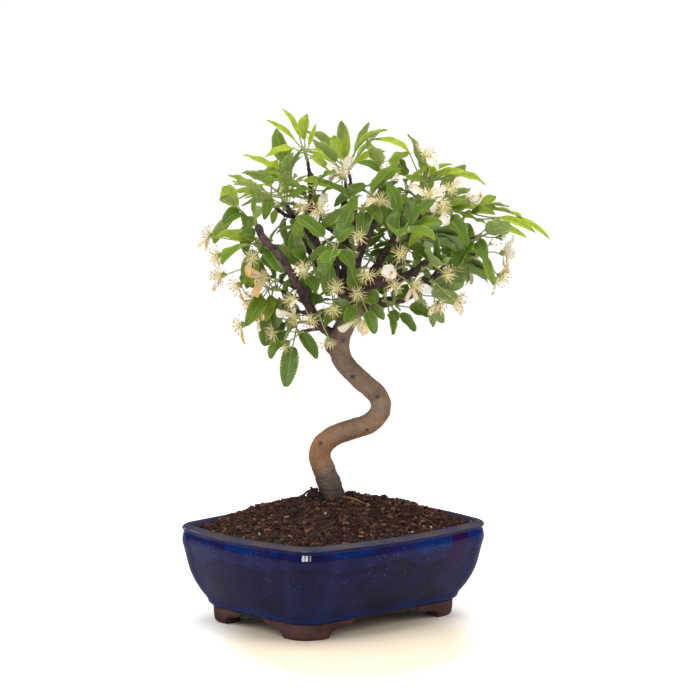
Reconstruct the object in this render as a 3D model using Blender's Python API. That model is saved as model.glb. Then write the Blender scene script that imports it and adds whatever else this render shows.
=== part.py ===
"""Crabapple bonsai: an S-bent tree in leaf and fading flower, in a bulged rectangular glazed pot.

Metres, +Z up. The pot's long side lies along X and it stands on z = 0. The tree is drawn in its own
frame (x to its right, y to its back, z up), and an empty turns it in the pot. The whole is moved last,
so that the middle of its bounding box stands over the origin.
"""
import math
import random

import bmesh
import bpy
from mathutils import Matrix, Vector, noise
from mathutils.bvhtree import BVHTree

# Driving dimensions of the pot
RIM_LENGTH = 0.2025
RIM_WIDTH = 0.1675
BASE_LENGTH = 0.163
BASE_WIDTH = 0.119
RIM_BOW = 0.0075
CORNER_RADIUS = 0.021
WALL = 0.0075
FLOOR_TOP = 0.0195
CORNER_STEPS = 4
SIDE_STEPS = 3
GAP = 0.0003

# The ring of bracket feet under the pot: how far it stands in from the base line, outside and inside,
# and its arches, as half their width at the ground and half the width of their flat top
RING_TOP = 0.0121
RING_OUTSIDE = -0.0030
RING_INSIDE = -0.0165
HOLLOW_TOP = 0.0117
LONG_ARCH = (0.0585, 0.0360)
SHORT_ARCH = (0.0360, 0.0150)
ARCH_LOBE_HEIGHT = 0.0060
ARCH_STEP_HEIGHT = 0.0014
ARCH_RISE = 0.0036
ARCH_STEPS = 3
BELOW_GROUND = -0.004
PAST_THE_POT = 0.12

# Drain holes and their screens
DRAIN_RADIUS = 0.007
DRAIN_SPACING = 0.076
SCREEN_CELL = 0.0048
SCREEN_CELLS = 5
SCREEN_THICKNESS = 0.0009
DRAIN_SIDES = 16

# Soil mound
SOIL_EDGE_HEIGHT = 0.0680
MOUND_HEIGHT = 0.0210
MOUND_FALL = 2.2
SOCKET_RADIUS = 0.0122
SOCKET_FLOOR = 0.055
SOIL_RINGS = 10
SOIL_RINGS_CLOSE = 0.9
CHUNK_HEIGHT = 0.0021
COARSE_CHUNKS = 90
FINE_CHUNKS = 210

# Tree
TREE_TURN = math.radians(-42.0)
STEM_FOOT = Vector((-0.001, 0.005, 0.0553))
CROWN_HEART = Vector((0.022, 0.000, 0.262))
GOLDEN_ANGLE = math.radians(137.5)
SEED = 41
CLEARANCE = 0.00035

TRUNK_ROUTE = [
    (-0.001, 0.005, 0.0553), (-0.001, 0.005, 0.072), (-0.001, 0.005, 0.090), (-0.006, 0.004, 0.107),
    (-0.0105, 0.002, 0.121), (-0.007, 0.000, 0.131), (0.003, -0.002, 0.138), (0.0145, -0.004, 0.142),
    (0.0275, -0.004, 0.147), (0.035, -0.003, 0.1565), (0.033, 0.000, 0.166), (0.0245, 0.002, 0.174),
    (0.0125, 0.004, 0.185), (0.0055, 0.005, 0.195), (0.004, 0.005, 0.205), (0.0065, 0.004, 0.215),
    (0.012, 0.002, 0.224), (0.017, 0.000, 0.232)]
TRUNK_SIDES = 10
TRUNK_RADII = [0.0112, 0.0108, 0.0096, 0.0086, 0.0082, 0.0079, 0.0077, 0.0076, 0.0076, 0.0075,
               0.0074, 0.0074, 0.0074, 0.0076, 0.0078, 0.0078, 0.0070, 0.0055]

# Each limb: its route and its radius at the root and at the end
LIMBS = {
    "left": ([(0.009, 0.004, 0.209), (-0.008, -0.001, 0.217), (-0.020, -0.012, 0.236),
              (-0.030, -0.018, 0.255), (-0.042, -0.018, 0.273), (-0.055, -0.012, 0.290)],
             0.0040, 0.0024),
    "left_rising": ([(0.012, 0.000, 0.246), (-0.003, 0.010, 0.266), (-0.014, 0.014, 0.281),
                     (-0.020, 0.014, 0.292), (-0.017, 0.010, 0.310), (-0.017, 0.006, 0.331)],
                    0.0032, 0.0021),
    "left_stub": ([(-0.019, 0.014, 0.290), (-0.027, 0.018, 0.297), (-0.035, 0.020, 0.303)],
                  0.0024, 0.0018),
    "leader": ([(0.016, 0.001, 0.226), (0.013, -0.004, 0.247), (0.010, -0.006, 0.264),
                (0.008, -0.004, 0.283), (0.007, 0.000, 0.301), (0.009, 0.004, 0.316)],
               0.0050, 0.0022),
    "middle": ([(0.012, -0.005, 0.250), (0.021, -0.014, 0.277), (0.030, -0.020, 0.297),
                (0.032, -0.018, 0.313)], 0.0030, 0.0020),
    "middle_right": ([(0.014, -0.002, 0.243), (0.028, -0.008, 0.258), (0.037, -0.008, 0.273),
                      (0.046, -0.002, 0.287), (0.050, 0.002, 0.308)], 0.0032, 0.0020),
    "right": ([(0.014, 0.000, 0.227), (0.030, 0.006, 0.234), (0.043, 0.010, 0.236),
               (0.058, 0.016, 0.240), (0.073, 0.020, 0.249)], 0.0040, 0.0022),
    "right_arm": ([(0.013, -0.002, 0.240), (0.028, -0.011, 0.249), (0.043, -0.016, 0.253),
                   (0.057, -0.018, 0.259), (0.069, -0.016, 0.267), (0.082, -0.012, 0.271),
                   (0.097, -0.008, 0.277)], 0.0036, 0.0020),
    "right_rising": ([(0.045, -0.016, 0.254), (0.054, -0.008, 0.278), (0.062, -0.004, 0.292),
                      (0.065, 0.000, 0.314)], 0.0028, 0.0019),
    "back_left": ([(0.013, 0.002, 0.232), (0.000, 0.022, 0.248), (-0.016, 0.038, 0.268),
                   (-0.030, 0.048, 0.292)], 0.0036, 0.0020),
    "back_right": ([(0.017, 0.002, 0.236), (0.032, 0.026, 0.254), (0.050, 0.042, 0.274),
                    (0.066, 0.048, 0.296)], 0.0034, 0.0020),
    "back": ([(0.009, -0.003, 0.272), (0.014, 0.022, 0.290), (0.016, 0.040, 0.306),
              (0.012, 0.046, 0.322)], 0.0028, 0.0019),
    "front": ([(0.012, -0.002, 0.234), (0.004, -0.018, 0.248), (0.002, -0.034, 0.264),
               (0.008, -0.042, 0.280)], 0.0030, 0.0019),
    "front_right": ([(0.030, -0.011, 0.250), (0.044, -0.028, 0.264), (0.056, -0.040, 0.282)],
                    0.0026, 0.0019),
}
SNAG_ROUTE = [(0.006, 0.004, 0.197), (-0.003, 0.001, 0.200), (-0.005, 0.000, 0.207)]

# Each leafy shoot: where its spur ends, how many leaves the rule adds, and the leaves that are placed
# by hand as (tip, blade width, arch)
SHOOTS = [
    ((-0.019, 0.004, 0.340), 1, [((-0.048, 0.000, 0.372), 0.0075, 0.001),
                                 ((-0.036, 0.012, 0.379), 0.0080, 0.003),
                                 ((-0.050, -0.018, 0.345), 0.0105, 0.005),
                                 ((-0.013, 0.014, 0.368), 0.0060, -0.001),
                                 ((0.001, -0.004, 0.340), 0.0085, 0.003),
                                 ((0.000, -0.014, 0.332), 0.0085, 0.003)]),
    ((0.009, 0.002, 0.325), 4, [((0.010, -0.008, 0.364), 0.0100, 0.001),
                                ((0.039, 0.014, 0.349), 0.0095, 0.005)]),
    ((-0.027, -0.004, 0.322), 3, [((-0.064, -0.008, 0.347), 0.0105, 0.002),
                                  ((-0.052, -0.024, 0.334), 0.0110, 0.003),
                                  ((0.002, -0.016, 0.322), 0.0110, 0.003)]),
    ((-0.043, -0.012, 0.306), 3, [((-0.075, -0.018, 0.318), 0.0085, 0.004),
                                  ((-0.018, -0.036, 0.316), 0.0090, 0.004),
                                  ((-0.050, -0.034, 0.300), 0.0120, 0.004)]),
    ((-0.060, -0.006, 0.296), 2, [((-0.089, -0.004, 0.280), 0.0120, 0.005),
                                  ((-0.080, -0.022, 0.297), 0.0140, 0.004),
                                  ((-0.062, -0.032, 0.290), 0.0130, 0.004),
                                  ((-0.064, -0.022, 0.272), 0.0105, 0.003)]),
    ((-0.036, 0.022, 0.308), 7, []),
    ((-0.048, -0.030, 0.280), 3, [((-0.068, -0.036, 0.288), 0.0120, 0.003),
                                  ((-0.036, -0.048, 0.262), 0.0130, 0.003),
                                  ((-0.064, -0.038, 0.258), 0.0085, 0.003),
                                  ((-0.058, -0.028, 0.248), 0.0095, 0.002)]),
    ((-0.038, -0.012, 0.246), 4, [((-0.064, -0.018, 0.224), 0.0080, 0.002),
                                  ((-0.060, -0.024, 0.209), 0.0120, 0.003),
                                  ((-0.047, -0.010, 0.202), 0.0130, 0.002),
                                  ((-0.046, -0.028, 0.224), 0.0120, 0.003),
                                  ((-0.055, -0.032, 0.240), 0.0100, 0.002)]),
    ((-0.022, -0.006, 0.222), 4, [((-0.033, -0.008, 0.175), 0.0135, 0.001),
                                  ((-0.011, -0.012, 0.196), 0.0100, 0.002),
                                  ((-0.040, -0.014, 0.198), 0.0110, 0.002)]),
    ((-0.018, -0.032, 0.256), 2, [((0.000, -0.056, 0.279), 0.0135, 0.005),
                                  ((-0.030, -0.050, 0.276), 0.0120, 0.004),
                                  ((-0.044, -0.038, 0.281), 0.0105, 0.004),
                                  ((-0.034, -0.036, 0.242), 0.0075, 0.002),
                                  ((-0.018, -0.052, 0.245), 0.0115, 0.002)]),
    ((-0.012, -0.014, 0.312), 4, [((-0.027, -0.046, 0.283), 0.0110, 0.006),
                                  ((-0.012, -0.046, 0.298), 0.0110, 0.004),
                                  ((-0.030, -0.038, 0.316), 0.0100, 0.004)]),
    ((0.002, -0.046, 0.274), 3, [((0.014, -0.058, 0.296), 0.0130, 0.004),
                                 ((-0.010, -0.062, 0.257), 0.0130, 0.004),
                                 ((-0.004, -0.036, 0.243), 0.0120, 0.003),
                                 ((0.014, -0.062, 0.262), 0.0120, 0.003)]),
    ((0.022, -0.030, 0.300), 4, [((-0.007, -0.046, 0.291), 0.0120, 0.004),
                                 ((0.017, -0.056, 0.286), 0.0145, 0.006),
                                 ((0.036, -0.054, 0.298), 0.0130, 0.004)]),
    ((0.036, -0.014, 0.318), 3, [((0.052, -0.028, 0.338), 0.0110, 0.004),
                                 ((0.004, -0.032, 0.306), 0.0130, 0.010),
                                 ((0.024, -0.030, 0.336), 0.0110, 0.004),
                                 ((0.038, -0.032, 0.293), 0.0130, 0.003)]),
    ((0.052, 0.004, 0.312), 4, [((0.047, -0.004, 0.340), 0.0110, 0.002),
                                ((0.043, -0.022, 0.304), 0.0095, 0.003),
                                ((0.075, -0.004, 0.332), 0.0080, 0.003)]),
    ((0.064, 0.006, 0.320), 2, [((0.028, 0.010, 0.360), 0.0100, 0.012),
                                ((0.102, -0.002, 0.331), 0.0105, 0.005),
                                ((0.113, -0.006, 0.315), 0.0120, 0.006),
                                ((0.046, -0.012, 0.322), 0.0100, 0.003),
                                ((0.092, -0.022, 0.323), 0.0090, 0.003)]),
    ((0.072, -0.014, 0.300), 3, [((0.096, -0.040, 0.280), 0.0165, 0.006),
                                 ((0.086, -0.032, 0.302), 0.0085, 0.004),
                                 ((0.054, -0.042, 0.286), 0.0110, 0.003)]),
    ((0.094, -0.002, 0.294), 3, [((0.150, -0.004, 0.289), 0.0085, 0.006),
                                 ((0.163, 0.006, 0.285), 0.0085, 0.006),
                                 ((0.118, -0.012, 0.303), 0.0100, 0.003)]),
    ((0.100, -0.010, 0.281), 2, [((0.144, -0.014, 0.276), 0.0085, 0.007),
                                 ((0.110, -0.032, 0.270), 0.0110, 0.004),
                                 ((0.094, -0.038, 0.260), 0.0150, 0.003),
                                 ((0.110, -0.018, 0.241), 0.0070, 0.003)]),
    ((0.058, -0.042, 0.286), 6, []),
    ((0.046, -0.044, 0.284), 5, [((0.050, -0.062, 0.304), 0.0130, 0.004)]),
    ((0.064, -0.022, 0.262), 4, [((0.080, -0.024, 0.238), 0.0130, 0.003),
                                 ((0.047, -0.042, 0.276), 0.0120, 0.003)]),
    ((0.036, -0.004, 0.238), 4, [((0.047, -0.010, 0.217), 0.0140, 0.002)]),
    ((0.018, -0.026, 0.244), 4, [((0.032, -0.042, 0.240), 0.0130, 0.003),
                                 ((-0.001, -0.042, 0.216), 0.0130, 0.003)]),
    ((0.082, 0.014, 0.258), 7, []),
    ((0.060, 0.026, 0.240), 7, []),
    ((0.070, 0.050, 0.302), 8, []),
    ((0.046, 0.050, 0.274), 8, []),
    ((0.012, 0.048, 0.328), 8, []),
    ((-0.032, 0.050, 0.298), 8, []),
]

# Each flower cluster: where its spur ends, then its blooms as (centre, petals). A bloom with
# BUD petals is a closed bud.
BUD = -1
CLUSTERS = [
    ((-0.062, -0.008, 0.282), [((-0.085, -0.005, 0.271), 0), ((-0.091, 0.008, 0.285), 1)]),
    ((-0.052, -0.020, 0.268), [((-0.082, -0.014, 0.257), 2), ((-0.070, -0.018, 0.250), 1)]),
    ((-0.040, -0.022, 0.254), [((-0.058, -0.022, 0.240), 1), ((-0.050, -0.034, 0.256), 2)]),
    ((-0.032, -0.014, 0.232), [((-0.056, -0.014, 0.230), 2), ((-0.068, -0.012, 0.220), 0)]),
    ((-0.022, -0.012, 0.216), [((-0.044, -0.020, 0.216), 0), ((-0.035, -0.012, 0.206), 1)]),
    ((-0.026, -0.030, 0.252), [((-0.030, -0.044, 0.242), 0), ((-0.022, -0.052, 0.264), 0)]),
    ((-0.010, -0.020, 0.230), [((-0.016, -0.035, 0.226), 0), ((-0.028, -0.032, 0.228), 1),
                               ((-0.004, -0.022, 0.209), 0)]),
    ((0.001, -0.034, 0.250), [((0.002, -0.052, 0.251), 0), ((0.000, -0.042, 0.235), 0)]),
    ((0.016, -0.024, 0.240), [((0.017, -0.044, 0.246), 0), ((0.017, -0.032, 0.226), 3)]),
    ((0.026, -0.032, 0.258), [((0.024, -0.056, 0.260), 0), ((0.038, -0.056, 0.262), 5)]),
    ((0.044, -0.036, 0.260), [((0.047, -0.056, 0.274), 0), ((0.044, -0.048, 0.252), 0),
                              ((0.058, -0.044, 0.252), 3)]),
    ((0.070, -0.022, 0.254), [((0.082, -0.036, 0.259), 0), ((0.090, -0.016, 0.239), 1),
                              ((0.076, -0.022, 0.236), 2)]),
    ((0.104, -0.012, 0.272), [((0.123, -0.015, 0.256), 3), ((0.124, -0.016, 0.272), 4),
                              ((0.116, -0.030, 0.282), BUD)]),
    ((0.104, -0.002, 0.284), [((0.117, -0.010, 0.294), BUD), ((0.124, 0.004, 0.284), BUD)]),
    ((0.076, -0.016, 0.310), [((0.099, -0.026, 0.314), 5), ((0.084, -0.024, 0.319), 1)]),
    ((0.064, -0.028, 0.302), [((0.068, -0.042, 0.316), 2), ((0.078, -0.046, 0.308), 1)]),
    ((0.067, -0.004, 0.332), [((0.068, -0.010, 0.344), 1)]),
    ((0.034, -0.004, 0.322), [((0.033, 0.000, 0.338), 0), ((0.042, -0.018, 0.331), 2)]),
    ((0.007, -0.012, 0.318), [((0.006, -0.025, 0.331), 3)]),
    ((-0.014, -0.024, 0.298), [((-0.022, -0.036, 0.307), 0), ((-0.010, -0.042, 0.306), 1)]),
    ((0.032, -0.032, 0.304), [((0.034, -0.048, 0.313), 1), ((0.018, -0.056, 0.288), 0)]),
    ((-0.050, -0.032, 0.270), [((-0.058, -0.044, 0.272), 0)]),
    ((-0.012, 0.050, 0.276), [((-0.030, 0.062, 0.276), 2), ((-0.014, 0.066, 0.286), 0)]),
    ((0.032, 0.046, 0.296), [((0.030, 0.066, 0.304), 3), ((0.046, 0.068, 0.298), 0)]),
    ((0.084, 0.028, 0.262), [((0.104, 0.038, 0.262), 2), ((0.094, 0.048, 0.272), 0)]),
]

POT_BLUE = (0.014, 0.021, 0.115)
BARE_CLAY = (0.10, 0.042, 0.030)
BARK_TAN = (0.23, 0.15, 0.095)
PEAT_BROWN = (0.045, 0.022, 0.012)
LEAF_GREEN = (0.10, 0.28, 0.035)
BLOOM_CREAM = (0.74, 0.66, 0.36)
SCREEN_BLACK = (0.02, 0.02, 0.02)


def clear_scene():
    """Remove whatever the startup file holds."""
    for item in list(bpy.data.objects):
        bpy.data.objects.remove(item, do_unlink=True)


def finish_material(name, colour, roughness):
    """A plain material in the piece's own colour."""
    material = bpy.data.materials.new(name)
    material.use_nodes = True
    shader = material.node_tree.nodes["Principled BSDF"]
    shader.inputs["Base Color"].default_value = (*colour, 1.0)
    shader.inputs["Roughness"].default_value = roughness
    shader.inputs["Metallic"].default_value = 0.0
    return material


def add_object(name, shape, material=None, parent=None):
    """Turn (points, faces) into an object whose faces look outward."""
    points, faces = shape
    mesh = bpy.data.meshes.new(name)
    mesh.from_pydata([tuple(point) for point in points], [], faces)
    body = bmesh.new()
    body.from_mesh(mesh)
    bmesh.ops.recalc_face_normals(body, faces=body.faces)
    body.to_mesh(mesh)
    body.free()
    item = bpy.data.objects.new(name, mesh)
    bpy.context.scene.collection.objects.link(item)
    if material:
        mesh.materials.append(material)
    item.parent = parent
    return item


def fuse(item, shapes, solver="EXACT"):
    """Join shapes to an object's own mesh with one Boolean union, and drop the loose copies."""
    if not shapes:
        return
    pieces = bpy.data.collections.new(item.name + "_pieces")
    bpy.context.scene.collection.children.link(pieces)
    for number, shape in enumerate(shapes):
        piece = add_object(f"{item.name}_piece_{number}", shape)
        bpy.context.scene.collection.objects.unlink(piece)
        pieces.objects.link(piece)
        piece.matrix_world = item.matrix_world
    union = item.modifiers.new("grown_together", "BOOLEAN")
    union.operation = "UNION"
    union.operand_type = "COLLECTION"
    union.collection = pieces
    union.solver = solver
    apply_modifiers(item)
    for piece in list(pieces.objects):
        bpy.data.objects.remove(piece, do_unlink=True)
    bpy.data.collections.remove(pieces)


def cut(item, cutter):
    """Take a cutter out of an object and remove the cutter."""
    cutter.hide_render = True
    cutter.display_type = "WIRE"
    difference = item.modifiers.new("cut", "BOOLEAN")
    difference.operation = "DIFFERENCE"
    difference.object = cutter
    difference.solver = "EXACT"
    apply_modifiers(item)
    bpy.data.objects.remove(cutter, do_unlink=True)


def apply_modifiers(item):
    """Write the evaluated mesh back as the object's own mesh."""
    bpy.context.view_layer.update()
    graph = bpy.context.evaluated_depsgraph_get()
    mesh = bpy.data.meshes.new_from_object(item.evaluated_get(graph))
    item.modifiers.clear()
    item.data = mesh


def rounded_rectangle(length, width, radius, bow):
    """Points round a rectangle with arc corners and sides that swell outward by bow."""
    points = []
    half = (length / 2 - bow, width / 2 - bow)
    for corner in range(4):
        start = corner * math.pi / 2
        along_x = 1 if corner in (0, 3) else -1
        along_y = 1 if corner in (0, 1) else -1
        centre = (along_x * (half[0] - radius), along_y * (half[1] - radius))
        for step in range(CORNER_STEPS + 1):
            angle = start + step / CORNER_STEPS * math.pi / 2
            points.append((centre[0] + radius * math.cos(angle), centre[1] + radius * math.sin(angle)))
        following = corner + 1
        next_x = 1 if following % 4 in (0, 3) else -1
        next_y = 1 if following % 4 in (0, 1) else -1
        angle = following * math.pi / 2
        side_end = (next_x * (half[0] - radius) + radius * math.cos(angle),
                    next_y * (half[1] - radius) + radius * math.sin(angle))
        side_start = points[-1]
        for step in range(1, SIDE_STEPS):
            share = step / SIDE_STEPS
            swell = bow * math.sin(math.pi * share)
            points.append((side_start[0] + (side_end[0] - side_start[0]) * share
                           + swell * math.cos(angle),
                           side_start[1] + (side_end[1] - side_start[1]) * share
                           + swell * math.sin(angle)))
    return points


def pot_outline(inward, height, offset=0.0):
    """One level of the pot: inward runs from 0 at the rim to 1 at the base."""
    length = RIM_LENGTH + (BASE_LENGTH - RIM_LENGTH) * inward + 2 * offset
    width = RIM_WIDTH + (BASE_WIDTH - RIM_WIDTH) * inward + 2 * offset
    bow = RIM_BOW * (1 - 0.9 * inward)
    radius = max(CORNER_RADIUS + offset, 0.004)
    return [Vector((x, y, height)) for x, y in rounded_rectangle(length, width, radius, bow)]


def loft(rings, close_start=True, close_end=True):
    """Skin equal rings of points into one closed shape."""
    count = len(rings[0])
    points = [point for ring in rings for point in ring]
    faces = []
    for level in range(len(rings) - 1):
        low, high = level * count, (level + 1) * count
        for step in range(count):
            following = (step + 1) % count
            faces.append((low + step, low + following, high + following, high + step))
    if close_start:
        faces.append(tuple(range(count - 1, -1, -1)))
    if close_end:
        top = (len(rings) - 1) * count
        faces.append(tuple(range(top, top + count)))
    return points, faces


# The body's outer levels, from the underside of its floor to the lip: (inward, height, offset)
POT_OUTSIDE = [
    (1.00, 0.0115, -0.0030), (1.00, 0.0123, -0.0004), (0.90, 0.0140, 0.0), (0.83, 0.0172, 0.0),
    (0.58, 0.0240, 0.0), (0.35, 0.0320, 0.0), (0.19, 0.0405, 0.0), (0.09, 0.0500, 0.0),
    (0.02, 0.0610, 0.0), (0.00, 0.0680, -0.0002), (0.00, 0.0689, 0.0006), (0.00, 0.0710, 0.0004),
    (0.00, 0.0720, -0.0020)]
# The inner levels, from the lip down to the floor
POT_INSIDE = [
    (0.00, 0.0718, -0.0060), (0.02, 0.0690, -0.0078), (0.20, 0.0450, -WALL), (0.50, 0.0310, -WALL),
    (0.84, FLOOR_TOP, -WALL)]


def arch_profile(half_bottom, half_top):
    """Bracket-foot arch: a hollow curve up from the ground, a small step, then a second curve."""
    run = half_bottom - half_top
    shoulder = ARCH_LOBE_HEIGHT + ARCH_STEP_HEIGHT
    turns = [step / ARCH_STEPS * math.pi / 2 for step in range(1, ARCH_STEPS + 1)]
    profile = [(half_bottom, BELOW_GROUND), (half_bottom, 0.0)]
    profile += [(half_bottom - 0.34 * run * (1 - math.cos(turn)), ARCH_LOBE_HEIGHT * math.sin(turn))
                for turn in turns]
    profile.append((half_bottom - 0.42 * run, ARCH_LOBE_HEIGHT))
    profile.append((half_bottom - 0.46 * run, shoulder))
    profile += [(half_bottom - run * (0.46 + 0.54 * math.sin(turn)),
                 shoulder + ARCH_RISE * (1 - math.cos(turn))) for turn in turns]
    mirrored = [(-across, height) for across, height in reversed(profile)]
    return profile + mirrored


def arch_cutter(name, half_bottom, half_top, along_x):
    """An arch pushed right through the foot ring."""
    rings = []
    for side in (-PAST_THE_POT, PAST_THE_POT):
        ring = []
        for across, height in arch_profile(half_bottom, half_top):
            ring.append(Vector((across, side, height)) if along_x else Vector((side, across, height)))
        rings.append(ring)
    return add_object(name, loft(rings))


def make_pot(material):
    """Body, rolled lip, apron and bracket feet, all one fired piece with two drain holes."""
    rings = [pot_outline(*level) for level in POT_OUTSIDE + POT_INSIDE]
    pot = add_object("pot", loft(rings), material)
    foot_rings = [pot_outline(1.0, 0.0, RING_OUTSIDE), pot_outline(1.0, 0.0015, RING_OUTSIDE + 0.0012),
                  pot_outline(1.0, RING_TOP, RING_OUTSIDE + 0.0020)]
    feet = add_object("foot_ring", loft(foot_rings))
    hollow = add_object("foot_hollow", loft([pot_outline(1.0, BELOW_GROUND, RING_INSIDE),
                                             pot_outline(1.0, HOLLOW_TOP, RING_INSIDE + 0.0015)]))
    cut(feet, hollow)
    cut(feet, arch_cutter("long_arch", *LONG_ARCH, along_x=True))
    cut(feet, arch_cutter("short_arch", *SHORT_ARCH, along_x=False))
    shape = ([vertex.co.copy() for vertex in feet.data.vertices],
             [tuple(face.vertices) for face in feet.data.polygons])
    bpy.data.objects.remove(feet, do_unlink=True)
    fuse(pot, [shape])
    for side in (-1, 1):
        ring_low = circle_ring(Vector((side * DRAIN_SPACING / 2, 0, 0)), DRAIN_RADIUS, DRAIN_SIDES)
        ring_high = [point + Vector((0, 0, 1.5 * FLOOR_TOP)) for point in ring_low]
        cut(pot, add_object("drain_cutter", loft([ring_low, ring_high])))
    pot.data.shade_smooth()
    pot.data.set_sharp_from_angle(angle=math.radians(35))
    return pot


def circle_ring(centre, radius, count):
    """A level circle of points."""
    return [centre + Vector((radius * math.cos(step / count * math.tau),
                             radius * math.sin(step / count * math.tau), 0)) for step in range(count)]


def make_screen(name, centre_x, material):
    """A small square of plastic mesh that keeps the soil in over one drain hole."""
    half = SCREEN_CELLS * SCREEN_CELL / 2
    body = bmesh.new()
    corners = {}
    for row in range(SCREEN_CELLS + 1):
        for column in range(SCREEN_CELLS + 1):
            corners[row, column] = body.verts.new((column * SCREEN_CELL - half,
                                                   row * SCREEN_CELL - half, 0))
    for row in range(SCREEN_CELLS):
        for column in range(SCREEN_CELLS):
            if row % 2 and column % 2:
                continue
            body.faces.new((corners[row, column], corners[row, column + 1],
                            corners[row + 1, column + 1], corners[row + 1, column]))
    mesh = bpy.data.meshes.new(name)
    extruded = bmesh.ops.extrude_face_region(body, geom=body.faces[:])
    raised = [part for part in extruded["geom"] if isinstance(part, bmesh.types.BMVert)]
    bmesh.ops.translate(body, verts=raised, vec=(0, 0, SCREEN_THICKNESS))
    bmesh.ops.recalc_face_normals(body, faces=body.faces)
    body.to_mesh(mesh)
    body.free()
    screen = bpy.data.objects.new(name, mesh)
    bpy.context.scene.collection.objects.link(screen)
    mesh.materials.append(material)
    screen.location = (centre_x, 0, FLOOR_TOP + GAP)
    return screen


def soil_height(x, y):
    """The mound: highest at the trunk, falling to the wall, with chunky bark relief."""
    reach_x = RIM_LENGTH / 2 - WALL
    reach_y = RIM_WIDTH / 2 - WALL
    away = (abs(x / reach_x) ** 3 + abs(y / reach_y) ** 3) ** (1 / 3)
    mound = MOUND_HEIGHT * max(0.0, 1 - away ** MOUND_FALL)
    coarse = noise.noise(Vector((x, y, 0.3)) * COARSE_CHUNKS)
    fine = noise.noise(Vector((x, y, 1.7)) * FINE_CHUNKS)
    calmer_at_wall = min(1.0, 2.6 * (1.05 - min(away, 1.0)))
    return SOIL_EDGE_HEIGHT + mound + CHUNK_HEIGHT * (coarse + 0.6 * fine) * calmer_at_wall


def make_soil(material, socket_centre):
    """A plug that fills the pot, with a relief top and a plain socket for the trunk."""
    outer = pot_outline(0.02, 0, -WALL - 0.0006 - GAP)
    count = len(outer)
    socket = []
    for point in outer:
        angle = math.atan2(point.y - socket_centre.y, point.x - socket_centre.x)
        socket.append(Vector((socket_centre.x + SOCKET_RADIUS * math.cos(angle),
                              socket_centre.y + SOCKET_RADIUS * math.sin(angle), 0)))
    rings = [[Vector((p.x, p.y, FLOOR_TOP + GAP)) for p in pot_outline(0.84, 0, -WALL - 0.0012)]]
    rings.append(pot_outline(0.50, 0.0314, -WALL - 0.0010))
    rings.append(pot_outline(0.20, 0.0454, -WALL - 0.0010))
    for level in range(SOIL_RINGS + 1):
        share = (level / SOIL_RINGS) ** SOIL_RINGS_CLOSE
        ring = []
        for step in range(count):
            spot = outer[step].lerp(socket[step], share)
            ring.append(Vector((spot.x, spot.y, soil_height(spot.x, spot.y))))
        rings.append(ring)
    rings.append([Vector((p.x, p.y, SOCKET_FLOOR)) for p in socket])
    soil = add_object("soil", split_quads(loft(rings)), material)
    pocket_half = SCREEN_CELLS * SCREEN_CELL / 2 + GAP
    corners = ((-pocket_half, -pocket_half), (pocket_half, -pocket_half),
               (pocket_half, pocket_half), (-pocket_half, pocket_half))
    for side in (-1, 1):
        middle = side * DRAIN_SPACING / 2
        levels = [[Vector((middle + x, y, height)) for x, y in corners]
                  for height in (FLOOR_TOP - WALL / 2, FLOOR_TOP + SCREEN_THICKNESS + 2 * GAP)]
        cut(soil, add_object("screen_pocket", loft(levels)))
    return soil


def split_quads(shape):
    """Split each quad into two triangles, so that a bent one keeps its form."""
    points, faces = shape
    split = []
    for face in faces:
        if len(face) == 4:
            split.extend([(face[0], face[1], face[2]), (face[0], face[2], face[3])])
        else:
            split.append(face)
    return points, split


def curve_through(route, steps):
    """Catmull-Rom curve through a route, with steps pieces in each span."""
    knots = [Vector(point) for point in route]
    knots = [2 * knots[0] - knots[1]] + knots + [2 * knots[-1] - knots[-2]]
    curve = []
    for span in range(1, len(knots) - 2):
        before, start, end, after = knots[span - 1:span + 3]
        for step in range(steps):
            t = step / steps
            curve.append(0.5 * ((2 * start) + (end - before) * t
                                + (2 * before - 5 * start + 4 * end - after) * t * t
                                + (3 * start - before - 3 * end + after) * t ** 3))
    curve.append(knots[-2])
    return curve


def between(values, steps):
    """Values at each step from one listed value to the next."""
    filled = []
    for start, end in zip(values, values[1:]):
        filled.extend(start + (end - start) * step / steps for step in range(steps))
    return filled + [values[-1]]


def tube_rings(path, radii, sides, twist=0.0, swell=0.0, start_way=None):
    """Rings of a round stem along a path, on frames carried along without twisting.

    The first ring lies square to start_way where one is given, to sit flat on the wood below it.
    """
    tangent = (path[1] - path[0]).normalized()
    across = tangent.orthogonal().normalized()
    rings = []
    for number, centre in enumerate(path):
        ahead = path[min(number + 1, len(path) - 1)] - path[max(number - 1, 0)]
        turned = start_way if number == 0 and start_way else ahead.normalized()
        across = (tangent.rotation_difference(turned) @ across).normalized()
        tangent = turned
        upward = tangent.cross(across)
        radius = radii[number] + swell
        rings.append([centre + radius * (math.cos(angle) * across + math.sin(angle) * upward)
                      for angle in (twist + step / sides * math.tau for step in range(sides))])
    return rings


def tube(path, radii, sides, twist=0.0, swell=0.0, start_way=None):
    """A closed round stem along a path."""
    return split_quads(loft(tube_rings(path, radii, sides, twist, swell, start_way)))


def blade_half_width(share):
    """Outline of a crabapple leaf, 0 at its base and 1 at its tip: widest below the middle."""
    return max(0.0, math.sin(math.pi * share ** 0.78)) ** 0.85


BLADE_STEPS_LARGE = (0.20, 0.52, 0.82)
BLADE_STEPS_SMALL = (0.28, 0.70)
LARGE_BLADE = 0.0300
RIB_HALF_THICKNESS = 0.00042
STALK_RADIUS = 0.00062


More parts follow.
